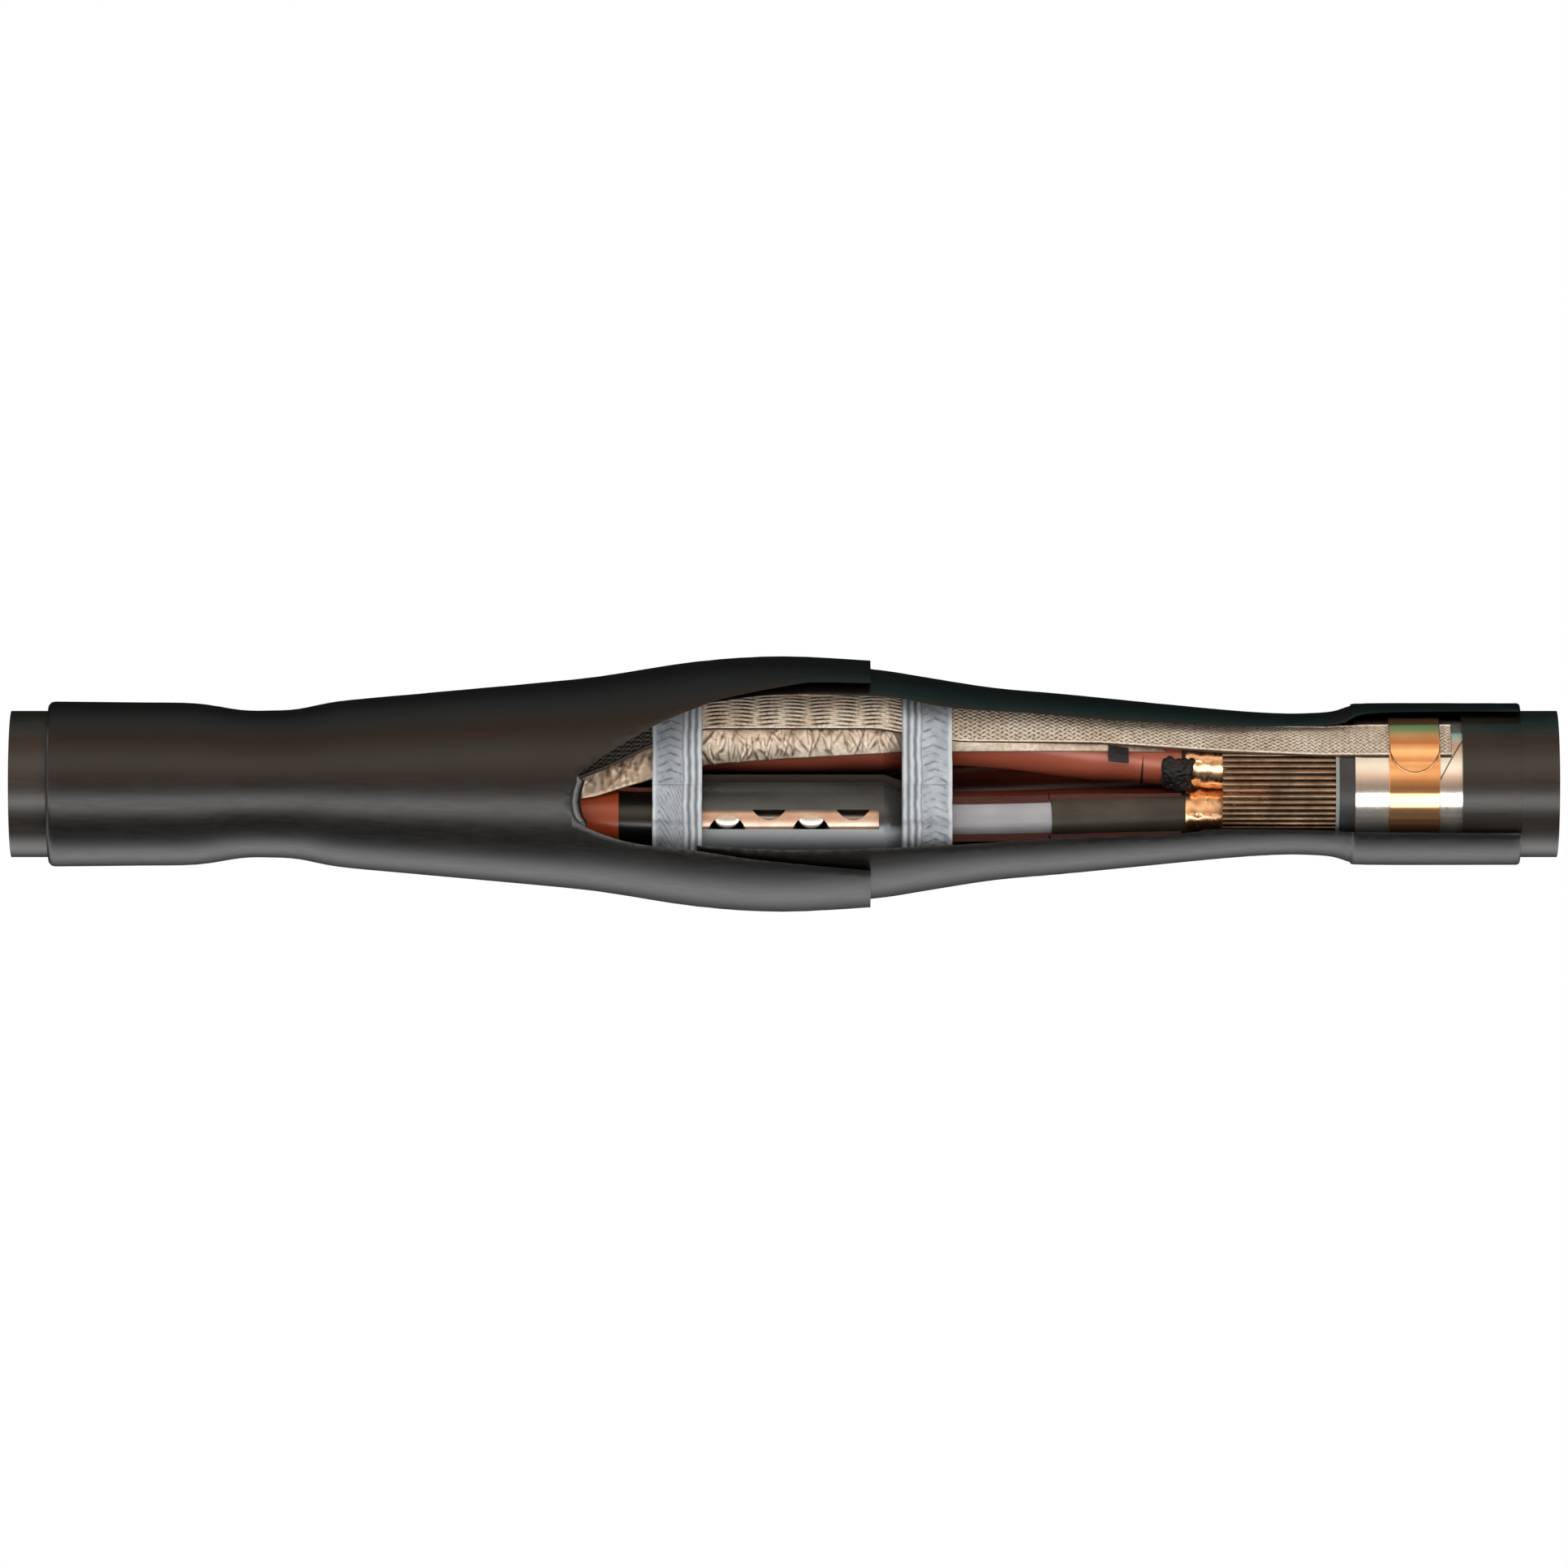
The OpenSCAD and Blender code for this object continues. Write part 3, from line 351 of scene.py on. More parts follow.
def grey_tube(name):
    """Stress tube: black at its left end from painted shade, and grey between the tapes with a painted
    highlight paling its lower side.
    """
    s = Shader(name, (48, 50, 49))
    x, _, z = s.axes()
    tone = s.noise(45, 4, 0.5, (0.5, 1, 1))
    s.tint((70, 73, 71), tone, 0.3, 0.72)
    # Painted highlight: the tube's lower side is made pale by height
    s.tint((196, 200, 203), z, -20 * MM, -24 * MM, 0.9)
    # Painted shade: the tube's left end is made nearly black
    s.tint((20, 19, 18), x, MIDDLE - 0.044, MIDDLE - 0.052)
    rough = s.span(tone, 0.3, 0.7, 0.22, 0.34)
    return s.finish(rough, (s.noise(260, 3, 0.5, (0.4, 1, 1)), 0.1, 0.3), specular=0.6)


def sheared_face(name):
    """A torn face; u counts from its middle, and past its edge, over the sunken ring, painted shade
    darkens it.
    """
    s = Shader(name, (255, 250, 238))
    u, _, _ = s.axes(uv=True)
    grain = s.noise(300, 3, 0.6)
    s.tint((222, 210, 192), grain, 0.3, 0.7)
    # Painted shade over the sunken ring round the face
    s.tint((26, 20, 17), u, 6.6 * MM, 7.0 * MM)
    return s.finish(s.span(grain, 0.3, 0.7, 0.24, 0.4), (grain, 0.1, 0.4), metallic=0.9)


def wound_strip(name):
    """Polished strip; u and v count from the middle of its round end, round whose edge a painted shadow
    line is drawn.
    """
    s = Shader(name, (255, 206, 150))
    u, v, _ = s.axes(uv=True)
    far = s.math("SQRT", s.plus(s.times(u, u), s.times(v, v)))
    off = s.away(far, SPRING_R - 0.25 * MM)
    line = s.times(s.span(off, 0.34 * MM, 0.16 * MM), s.span(v, 2 * MM, 0.0))
    stains = s.noise(60, 4, 0.5)
    s.tint((240, 168, 108), stains, 0.3, 0.7, 0.6)
    # Painted shadow: a dark line round the edge of the round end
    s.tint((88, 46, 22), s.times(line, 0.85))
    rough = s.span(stains, 0.3, 0.7, 0.08, 0.14)
    return s.finish(rough, (s.noise(700, 2, 0.5, (3, 0.3, 0.3)), 0.02, 0.3), metallic=0.93)


def soft_mastic(name):
    s = Shader(name, (10, 9, 10))
    lumps = s.noise(300, 4, 0.6)
    s.tint((34, 28, 29), lumps, 0.4, 0.7)
    return s.finish(s.span(lumps, 0.3, 0.7, 0.35, 0.6), (lumps, 0.4, 0.5), specular=0.3)


def fibre_filler(name):
    s = Shader(name, (118, 104, 82))
    fibres = s.noise(500, 4, 0.7, (0.1, 1, 1))
    s.tint((186, 172, 144), fibres, 0.35, 0.7)
    return s.finish(0.85, (fibres, 0.4, 0.7), specular=0.2)


finishes = {
    "outer_jacket": shrunk_polymer("jacket_polymer", (10, 8, 6), (17, 14, 12), 0.33),
    "cable_sheath": shrunk_polymer("sheath_polymer", (24, 21, 18), (46, 40, 34), 0.3, streak=4.0),
    "bedding": cut_bedding("bedding_polymer"),
    "insulating_tube": red_tube("red_tube"),
    "stress_tube": grey_tube("grey_tube"),
    "insulation": smooth_polymer("pale_insulation", (156, 153, 157), (186, 184, 186), 0.36, gloss=0.45),
    "core_screen": smooth_polymer("olive_screen", (48, 45, 37), (78, 72, 62), 0.45, gloss=0.3),
    "copper_tape": drawn_metal(
        "copper_tape_metal", (214, 150, 108), (255, 216, 174), 0.26, (1, 0.4, 0.4), 500, 0.1
    ),
    "connector": drawn_metal(
        "connector_metal", (200, 164, 144), (242, 212, 192), 0.36, (4, 0.6, 0.6), 400, 0.06, 0.8
    ),
    "shear_bolt": sheared_face("bolt_metal"),
    "screen_wire": drawn_metal(
        "wire_metal", (88, 70, 54), (168, 144, 122), 0.34, (0.15, 1, 1), 600, 0.1, 0.9
    ),
    "armour_tape": lapped_steel("steel_tape_metal"),
    "roll_spring": wound_strip("spring_metal"),
    "conductor": drawn_metal("conductor_metal", (176, 176, 178), (226, 226, 228), 0.35),
    "copper_mesh": knitted_metal("knitted_copper"),
    "earth_braid": braided_metal("braid_metal"),
    "cut_wall": cut_wall("cut_wall"),
    "braid_shade": smooth_polymer("braid_shade", (38, 27, 21), (76, 58, 46), 0.6, gloss=0.3),
    "binding_tape": woven_tape("tape_weave"),
    "sealing_mastic": soft_mastic("mastic_black"),
    "core_filler": fibre_filler("filler_fibre"),
}


def dress(obj, slot, finish=None):
    obj.data.materials.clear()
    obj.data.materials.append(finishes[finish or slot])


def dress_nodes():
    """Gives each carried-over CAD node its finish."""
    for part in frame["record"]["subparts"]:
        dress(nodes[part["node"]], part["material_slot"])


def soften_edges(name, width):
    """Rounds the cut edges of a node that shows them; its own mesh stays as it is."""
    obj = nodes[name]
    weld = obj.modifiers.new("weld", "WELD")
    weld.merge_threshold = 0.002 * MM
    bevel = obj.modifiers.new("bevel", "BEVEL")
    bevel.width = width
    bevel.segments = 2
    bevel.limit_method = "ANGLE"
    bevel.angle_limit = math.radians(35)
    bevel.harden_normals = True


# Meshes from rows of points


def new_object(name, data):
    obj = bpy.data.objects.new(name, data)
    bpy.context.scene.collection.objects.link(obj)
    return obj


def add_piece(name, mesh, slot, replaced=(), finish=None):
    obj = new_object(name, mesh)
    dress(obj, slot, finish)
    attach(obj, "root")
    if replaced:
        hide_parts(*replaced)
    return obj


def mesh_of(name, points, faces, uvs=None):
    """A smooth mesh of points and quads, with one (u, v) pair for each point."""
    mesh = bpy.data.meshes.new(name)
    mesh.from_pydata(points.reshape(-1, 3).tolist(), [], faces.tolist())
    mesh.update()
    mesh.polygons.foreach_set("use_smooth", np.full(len(mesh.polygons), True))
    if uvs is not None:
        layer = mesh.uv_layers.new(name="UVMap")
        corner = np.zeros(len(mesh.loops), np.int32)
        mesh.loops.foreach_get("vertex_index", corner)
        layer.data.foreach_set("uv", uvs.reshape(-1, 2)[corner].astype(np.float32).ravel())
    return mesh


def quads(n, m, closed=False, first=0, flip=False):
    """Faces of a grid of n rows of m points; a closed grid joins each row's end to its start."""
    i, j = np.meshgrid(np.arange(n - 1), np.arange(m if closed else m - 1), indexing="ij")
    k = (j + 1) % m
    ring = [i * m + j, i * m + k, (i + 1) * m + k, (i + 1) * m + j]
    faces = np.stack(ring[::-1] if flip else ring, -1).reshape(-1, 4)
    return faces + first


def slab_faces(n, m, closed=False):
    """Faces of an outer grid, an inner grid behind it and the walls round their edges."""
    back = n * m
    parts = [quads(n, m, closed), quads(n, m, closed, back, True)]
    rows = np.arange(n - 1)
    cols = np.arange(m if closed else m - 1)
    after = (cols + 1) % m
    end = (n - 1) * m
    parts.append(np.stack([cols, back + cols, back + after, after], -1))
    parts.append(np.stack([end + cols, end + after, back + end + after, back + end + cols], -1))
    if not closed:
        for j, turned in ((0, False), (m - 1, True)):
            a, b = rows * m + j, (rows + 1) * m + j
            wall = [a, b, back + b, back + a]
            parts.append(np.stack(wall[::-1] if turned else wall, -1))
    return np.concatenate(parts)


def slab_mesh(name, outer, inner, uvs, closed=False):
    n, m = outer.shape[:2]
    points = np.concatenate([outer.reshape(-1, 3), inner.reshape(-1, 3)])
    both = np.concatenate([uvs.reshape(-1, 2)] * 2)
    return mesh_of(name, points, slab_faces(n, m, closed), both)


def circle(n):
    return np.linspace(0, 2 * math.pi, n, endpoint=False)


def ring(x, radius, turns):
    """Points round the cable's axis, from turns in radians; 0 is towards the viewer."""
    return np.stack([np.full(len(turns), x), -radius * np.cos(turns), radius * np.sin(turns)], -1)


def joined_mesh(name, parts):
    """One mesh of closed grids of points, each with the (u, v) pairs of its points."""
    faces, first = [], 0
    for grid, _ in parts:
        n, m = grid.shape[:2]
        faces.append(quads(n, m, True, first))
        first += n * m
    points = np.concatenate([grid.reshape(-1, 3) for grid, _ in parts])
    uvs = np.concatenate([pairs.reshape(-1, 2) for _, pairs in parts])
    return mesh_of(name, points, np.concatenate(faces), uvs)


# Rows laid on the outside of a CAD node

# Rays start this far from the cable's axis, which is outside everything
RAY = 0.09


def tree_of(*names):
    points, faces = [], []
    for name in names:
        mesh = nodes[name].data
        faces += [tuple(i + len(points) for i in p.vertices) for p in mesh.polygons]
        points += [v.co for v in mesh.vertices]
    return BVHTree.FromPolygons(points, faces)


def facing(angle):
    """Direction away from the cable's axis; 0 degrees is towards the viewer and 90 is up."""
    a = math.radians(angle)
    return Vector((0, -math.cos(a), math.sin(a)))


def outside(tree, x, angle):
    d = facing(angle)
    return tree.ray_cast(Vector((x, 0, 0)) + d * RAY, -d, RAY)[0]


def last_met(hit, miss, passes, is_met):
    """The edge of what is met, between one place that meets it and one that doesn't."""
    for _ in range(passes):
        middle = (hit + miss) / 2
        if is_met(middle):
            hit = middle
        else:
            miss = middle
    return hit


def resample(points, places):
    """Points at chosen places along a line of points, and those places in metres."""
    steps = np.linalg.norm(np.diff(points, axis=0), axis=1)
    at = np.concatenate([[0], np.cumsum(steps)])
    wanted = places(at[-1])
    return np.stack([np.interp(wanted, at, points[:, i]) for i in range(3)], -1), wanted


def laid_rows(node, xs, places, low, high, step=2.0, closed=False):
    """For each x, points round the outside of a sheet between its edges, and their places."""
    tree = tree_of(node)
    rows, along = [], []
    for x in xs:

        def is_met(angle, x=x):
            return outside(tree, x, angle) is not None

        angles = np.arange(low, high + step / 2, step)
        if not closed:
            found = [a for a in angles if is_met(a)]
            first = last_met(found[0], found[0] - step, 12, is_met)
            last = last_met(found[-1], found[-1] + step, 12, is_met)
            angles = [first, *found[1:-1], last]
        line = np.array([outside(tree, x, a) for a in angles])
        points, at = resample(line, places)
        rows.append(points)
        along.append(at)
    return np.array(rows), np.array(along)


def eased(grid, passes, closed=False):
    """Smooths a grid of points along and across, keeping its outer rows."""
    for _ in range(passes):
        inner = grid.copy()
        inner[1:-1] = grid[1:-1] * 0.5 + (grid[:-2] + grid[2:]) * 0.25
        grid = inner
        if closed:
            grid = grid * 0.5 + (np.roll(grid, 1, 1) + np.roll(grid, -1, 1)) * 0.25
        else:
            across = grid.copy()
            across[:, 1:-1] = grid[:, 1:-1] * 0.5 + (grid[:, :-2] + grid[:, 2:]) * 0.25
            grid = across
    return grid


def normals_of(grid, closed=False):
    along = np.gradient(grid, axis=0)
    if closed:
        across = np.roll(grid, -1, 1) - np.roll(grid, 1, 1)
    else:
        across = np.gradient(grid, axis=1)
    n = np.cross(along, across)
    n /= np.linalg.norm(n, axis=2, keepdims=True)
    outward = grid * (0, 1, 1)
    return n * np.sign((n * outward).sum(2).mean())


# Copper mesh: a crumpled wrap

MESH_THICK = 0.45 * MM


def crease(height, x, s, start, slope, length, width, rise):
    """Raises one sharp fold that runs from a start place at a slope in radians."""
    near = np.abs(x[:, 0] - start[0]) < length + 4 * width
    dx, ds = x[near] - start[0], s[near] - start[1]
    along = (dx * math.cos(slope) + ds * math.sin(slope)) / length
    across = -dx * math.sin(slope) + ds * math.cos(slope)
    fade = np.clip(4 * along * (1 - along), 0, 1) ** 0.7
    height[near] += rise * fade * np.exp(-np.abs(across) / width)


def random_creases(x, s, count, seed, lengths, widths, rises):
    """Folds strewn over the grid, with the ranges of their sizes in millimetres."""
    rng = np.random.default_rng(seed)
    height = np.zeros(x.shape)
    for _ in range(count):
        start = (rng.uniform(x[0, 0], x[-1, 0]), rng.uniform(0, s.max()))
        slope = math.radians(rng.uniform(25, 155))
        length, width = rng.uniform(*lengths) * MM, rng.uniform(*widths) * MM
        rise = rng.choice([-0.7, 1]) * rng.uniform(*rises) * MM
        crease(height, x, s, start, slope, length, width, rise)
    return height


def fanned_creases(x, s, first, last, count, seed):
    """Folds that fan out downwards from where the braid presses on the mesh."""
    rng = np.random.default_rng(seed)
    height = np.zeros(x.shape)
    for knot in first + (last - first) * np.linspace(0, 1, count) ** 1.3:
        top = rng.uniform(13, 18) * MM
        lean = rng.uniform(-115, -65)
        for _ in range(rng.integers(4, 8)):
            slope = math.radians(lean + rng.uniform(-42, 42))
            start = (knot + rng.uniform(-2, 2) * MM, top + rng.uniform(-3, 1) * MM)
            length, width = rng.uniform(7, 17) * MM, rng.uniform(0.4, 0.95) * MM
            crease(height, x, s, start, slope, length, width, rng.uniform(0.45, 1.0) * MM)
    return height


def make_mesh_wrap():
    low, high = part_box("copper_mesh")
    # Finest between the tapes, and wide where jacket or tape hides it
    breaks = [MIDDLE + u for u in (-0.106, -0.066, -0.044, 0.056, 0.078)]
    breaks = [low.x + 0.05 * MM, *breaks, high.x - 0.04 * MM]
    steps = (3.5, 0.8, 2.0, 0.4, 2.0, 0.8)
    xs = np.concatenate([np.arange(a, b, step * MM) for a, b, step in zip(breaks, breaks[1:], steps)])

    def places(length):
        """Close together over the 22 mm that show, and wider apart round the back."""
        near = np.linspace(0, 22 * MM, 50, endpoint=False)
        return np.concatenate([near, np.linspace(22 * MM, length, 30)])

    rows, at = laid_rows("copper_mesh", xs, places, -40, 272)
    rows = eased(rows, 1)
    out = normals_of(rows)
    x = np.repeat(xs[:, None], rows.shape[1], 1)
    lift = random_creases(x, at, 1100, 4, (4, 12), (0.35, 0.8), (0.15, 0.5))
    lift += fanned_creases(x, at, MIDDLE - 0.044, MIDDLE + 0.05, count=20, seed=11)
    lift += fanned_creases(x, at, MIDDLE - 0.106, MIDDLE - 0.07, count=8, seed=5)
    # The wrap lies calmer towards the right
    calm = np.interp(xs - MIDDLE, [-0.07, -0.05, 0.015, 0.05, 0.1], [0.9, 1.1, 1, 0.55, 0.45])
    lift = np.clip(lift * calm[:, None], -0.4 * MM, 1.1 * MM)
    outer = rows + out * lift[..., None]
    inner = outer - out * MESH_THICK
    uvs = np.stack([x, at], -1)
    obj = add_piece("mesh_wrap", slab_mesh("mesh_wrap", outer, inner, uvs), "copper_mesh", ["copper_mesh"])


# Earth braid: carriers plaited over and under each other

BRAID_STRANDS = 18
# Slope of its carriers, in degrees, at distances from the middle: it is drawn out between the tapes
BRAID_SLOPE_X = (-0.12, -0.066, -0.046, 0.056, 0.08, 0.24, 0.27)
BRAID_SLOPE_A = (30, 24, 5, 5, 26, 29, 36)
BRAID_WIDTH = 20 * MM
BRAID_THICK = 1.2 * MM
# Its lower edge, as distances from the middle of the joint and heights, in millimetres
BRAID_EDGE_X = (-340, -112, -89, -70, -43, 43, 57, 83, 152, 212, 260, 340)
BRAID_EDGE_Z = (0, 0, 8.6, 18, 27.4, 27.4, 25, 21, 20.4, 16.4, 14.4, 14.6)
# It runs straight between these places, from the bundle of cores down to the screen wires
BRAID_LIFTS = ((-212, -186), (152, 212))
BRAID_BEDS = ["copper_mesh", "insulating_tube_upper"]
for layer in ("screen_wires", "bedding", "armour_tape", "cable_sheath"):
    BRAID_BEDS += [f"{layer}_left", f"{layer}_right"]
CARRIER_WIDTH = 1.8 * MM
# How far a carrier rises and sinks where it crosses the others
CARRIER_RISE = 0.32 * MM
# Lines of points along a carrier: their place in its width and their height
CARRIER_LINES = ((-0.5, -0.16 * MM), (0.0, 0.18 * MM), (0.5, -0.16 * MM))
# Radius of the cord along either edge
EDGE_R = 0.5 * MM


class Surface:
    """A smooth patch that turns places along and across it into points."""

    def __init__(self, xs, rows, at):
        self.xs, self.rows = xs, rows
        self.out = normals_of(rows)
        self.half = at[:, -1].mean() / 2

    def point(self, x, v, lift):
        i = np.clip((x - self.xs[0]) / (self.xs[1] - self.xs[0]), 0, len(self.xs) - 1.001)
        m = self.rows.shape[1]
        j = np.clip((v / self.half + 1) / 2 * (m - 1), 0, m - 1.001)
        i0, j0 = i.astype(int), j.astype(int)
        fi, fj = (i - i0)[:, None], (j - j0)[:, None]

        def blended(grid):
            near = grid[i0, j0] * (1 - fj) + grid[i0, j0 + 1] * fj
            far = grid[i0 + 1, j0] * (1 - fj) + grid[i0 + 1, j0 + 1] * fj
            return near * (1 - fi) + far * fi

        return blended(self.rows) + blended(self.out) * lift[:, None]


def strand_places(surface, k, travelled):
    """Places across, height and heading of carrier k, which turns back at the edges."""
    half = surface.half
    pitch = 4 * half / BRAID_STRANDS
    folded = np.mod(travelled + (k + 0.5) * pitch, 4 * half)
    rising = folded < 2 * half
    v = np.where(rising, folded - half, 3 * half - folded)
    a = (v + half + travelled) / pitch
    b = (v + half - travelled) / pitch
    over_up = np.cos(math.pi * (a - 0.5)) * np.where(np.floor(b) % 2 == 0, 1, -1)
    over_down = -np.cos(math.pi * (b - 0.5)) * np.where(np.floor(a) % 2 == 0, 1, -1)
    height = np.where(rising, over_up, over_down)
    height *= np.clip((half - np.abs(v)) / (0.6 * pitch), 0, 1)
    return v, height, np.where(rising, 1, -1)


def braid_row(tree, x, edge):
    """Points up the taut outline of what lies under the braid, from its lower edge."""
    angles = np.arange(-30, 140, 1.0)
    hits = [outside(tree, x, a) for a in angles]
    radius = np.array([0 if hit is None else math.hypot(hit.y, hit.z) for hit in hits])
    radius = np.max([np.roll(radius, k) for k in range(-4, 5)], 0)
    radius = np.mean([np.roll(radius, k) for k in range(-5, 6)], 0) + 1.7 * MM
    # The widened and smoothed outline isn't true at its ends
    line = ring(x, radius, np.radians(angles))[6:-6]
    first = int(np.argmax(line[:, 2] >= edge))
    share = (edge - line[first - 1, 2]) / (line[first, 2] - line[first - 1, 2])
    low = line[first - 1] + (line[first] - line[first - 1]) * share
    return resample(np.concatenate([[low], line[first:]]), lambda length: np.linspace(0, BRAID_WIDTH, 17))


def braid_surface():
    """The taut face that the carriers are laid on, and the places across each of its rows."""
    low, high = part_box("earth_braid")
    xs = np.arange(low.x + 0.2 * MM, high.x - 0.1 * MM, 2.0 * MM)
    tree = tree_of(*BRAID_BEDS)
    edges = np.interp((xs - MIDDLE) / MM, BRAID_EDGE_X, BRAID_EDGE_Z) * MM
    rows, at = (np.array(part) for part in zip(*(braid_row(tree, x, z) for x, z in zip(xs, edges))))
    for ends in BRAID_LIFTS:
        i, j = np.searchsorted(xs, [MIDDLE + u * MM for u in ends])
        share = np.linspace(0, 1, j - i + 1)[:, None, None]
        rows[i : j + 1] = rows[i] * (1 - share) + rows[j] * share
    return Surface(xs, eased(rows, 3), at), at


def carriers(surface, x):
    """Each carrier as a low ridge of points, and their (u, v) pairs."""
    slope = np.radians(np.interp(x - MIDDLE, BRAID_SLOPE_X, BRAID_SLOPE_A))
    travelled = np.concatenate([[0], np.cumsum(np.diff(x) * np.tan(slope[1:]))])
    parts = []
    for k in range(BRAID_STRANDS):
        v, height, heading = strand_places(surface, k, travelled)
        middle = height * CARRIER_RISE - 0.4 * BRAID_THICK
        side_x = -np.sin(slope) * heading * CARRIER_WIDTH
        side_v = np.cos(slope) * CARRIER_WIDTH
        lines, pairs = [], []
        for share, up in CARRIER_LINES:
            along = np.clip(x + side_x * share, surface.xs[0], surface.xs[-1])
            across = np.clip(v + side_v * share, -surface.half, surface.half)
            lines.append(surface.point(along, across, middle + up))
            pairs.append(np.stack([x / np.cos(slope), np.full(len(x), share * CARRIER_WIDTH)], -1))
        parts.append((np.stack(lines, 1), np.stack(pairs, 1)))
    return parts


def edge_cords(surface, x):
    """The round cords along the braid's two edges."""
    turns = circle(8)
    pairs = np.stack([np.repeat(x, len(turns)), np.zeros(len(turns) * len(x))], -1)
    parts = []
    for edge in (-1, 1):
        lines = []
        for t in turns:
            v = np.full(len(x), edge * (surface.half - EDGE_R) + EDGE_R * math.cos(t))
            lines.append(surface.point(x, v, np.full(len(x), -0.1 * MM + EDGE_R * math.sin(t))))
        parts.append((np.stack(lines, 1), pairs))
    return parts


def make_braid():
    surface, at = braid_surface()
    xs = surface.xs
    # The jacket hides it up to here
    seen_from = MIDDLE - 0.112
    x = np.concatenate([np.arange(xs[0], seen_from, 1.3 * MM), np.arange(seen_from, xs[-1], 0.5 * MM)])
    mesh = joined_mesh("braid_strands", carriers(surface, x) + edge_cords(surface, x))
    strands = add_piece("braid_strands", mesh, "earth_braid", ["earth_braid"])
    lined = surface.rows.copy()
    # The dark sheet under the carriers stands in for the shade between them; it goes half a step further
    # down than the carriers, as a painted shadow line under the braid's lower edge
    lined[:, 0] -= (lined[:, 1] - lined[:, 0]) * 0.5
    outer = lined - surface.out * 0.7 * BRAID_THICK
    inner = lined - surface.out * 0.98 * BRAID_THICK
    uvs = np.stack([np.repeat(xs[:, None], lined.shape[1], 1), at], -1)
    mesh = slab_mesh("braid_shade_sheet", outer, inner, uvs)
    core = add_piece("braid_shade_sheet", mesh, "earth_braid", finish="braid_shade")


# Binding tapes

# The ribs' places from the ribbed edge, in millimetres
TAPE_RIBS = (1.2, 4.7, 8.2)


def tape_profile(from_ribs):
    """Height over the tape's face at a distance from its ribbed edge, in metres."""
    ribs = np.full(from_ribs.shape, -0.1 * MM)
    for place in TAPE_RIBS:
        ribs += np.exp(-(((from_ribs - place * MM) / (0.95 * MM)) ** 2)) * 0.5 * MM
    far_edge = np.exp(-(((from_ribs - 23.6 * MM) / (0.9 * MM)) ** 2)) * 0.4 * MM
    field = 0.12 * MM / (1 + np.exp(-(from_ribs - 9.6 * MM) / (0.2 * MM)))
    return ribs + far_edge + field


def make_tape(side):
    node = f"binding_tape_{side}"
    low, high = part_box(node)
    xs = np.linspace(low.x + 0.02 * MM, high.x - 0.02 * MM, 64)
    rows, at = laid_rows(node, xs, lambda length: np.linspace(0, length, 301), 0, 360, 1.5, True)
    rows, at = rows[:, :-1], at[:, :-1]
    rows = eased(rows, 2, True)
    out = normals_of(rows, True)
    across = (xs - xs[0])[:, None]
    from_ribs = across if side == "right" else xs[-1] - xs[0] - across
    turn = circle(rows.shape[1])
    ripple = 0.1 * MM * np.sin(turn * 41 + across / MM * 0.9) * np.sin(turn * 13 + 1.3)
    outer = rows + out * (tape_profile(from_ribs) + ripple)[..., None]
    sway = 0.25 * MM * np.sin(turn * 9 + 0.6) + 0.12 * MM * np.sin(turn * 31)
    edge = 1 - np.abs(2 * across / across.max() - 1) ** 3
    outer[..., 0] += sway * edge + np.sign(across - across.mean()) * np.minimum(sway, 0) * (1 - edge)
    inner = rows - out * 1.0 * MM
    uvs = np.stack(np.broadcast_arrays(at, from_ribs), -1)
    obj = add_piece(node + "_woven", slab_mesh(node, outer, inner, uvs, True), "binding_tape", [node])


# Crinkled copper tape on the cores

# Length of the crumpled part, its steps, and the length of the bend in the core
CRUMPLED = 22 * MM
CRUMPLED_STEP = 0.4 * MM
CORE_BEND = 42 * MM
TAPED_R = 12.5 * MM
TAPE_WALL = 0.75 * MM


def make_core_tape(core):
    """A tube over the core screen, crumpled where it stands free and smooth under the wires."""
    node = f"copper_tape_right_{core}"
    tree = tree_of(node)
    points = np.array([v.co for v in nodes[node].data.vertices])
    low, high = points[:, 0].min(), points[:, 0].max()
    start = points[points[:, 0] < low + 0.5 * MM].mean(0)
    end = points[points[:, 0] > high - 0.2 * MM].mean(0)
    fine = np.arange(low, low + CRUMPLED, CRUMPLED_STEP)
    xs = np.concatenate([fine, np.linspace(low + CRUMPLED, high, 30)])
    turns = circle(160)
    rows = np.zeros((len(xs), len(turns), 3))
    for i, x in enumerate(xs):
        centre = start + (end - start) * min((x - low) / CORE_BEND, 1)
        centre[0] = min(max(x, low + 0.1 * MM), high - 0.1 * MM)
        for j, t in enumerate(turns):
            way = Vector((0, -math.cos(t), math.sin(t)))
            rows[i, j] = tree.ray_cast(Vector(centre), way, 0.03)[0]
            rows[i, j, 0] = x
    out = normals_of(rows, True)
    x, s = np.meshgrid(xs, turns * TAPED_R, indexing="ij")
    free = int(CRUMPLED / CRUMPLED_STEP)
    seed = int(np.random.default_rng(len(core)).integers(99))
    folds = np.zeros(x.shape)
    folds[:free] = random_creases(x[:free], s[:free], 34, seed, (7, 18), (0.9, 1.8), (0.4, 0.8))
    fade = np.clip((xs - low) / (18 * MM), 0, 1)[:, None]
    swell = np.sin(x / MM * 0.8 + s / MM * 0.35) * 0.25 * MM * (1 - fade)
    rise = np.clip(folds * (1 - fade * 0.8) + swell, -0.3 * MM, 0.8 * MM)
    outer = rows + out * (TAPE_WALL + rise)[..., None]
    inner = rows + out * 0.02 * MM
    mesh = slab_mesh(node, outer, inner, np.stack([x, s], -1), True)
    add_piece(node + "_crinkled", mesh, "copper_tape", [node])


# Roll springs: a polished strip wound round, its round end laid over the front

# Where the tip of the round end lies, in degrees above the front
SPRING_END = 10.0
SPRING_WALL = 1.1 * MM


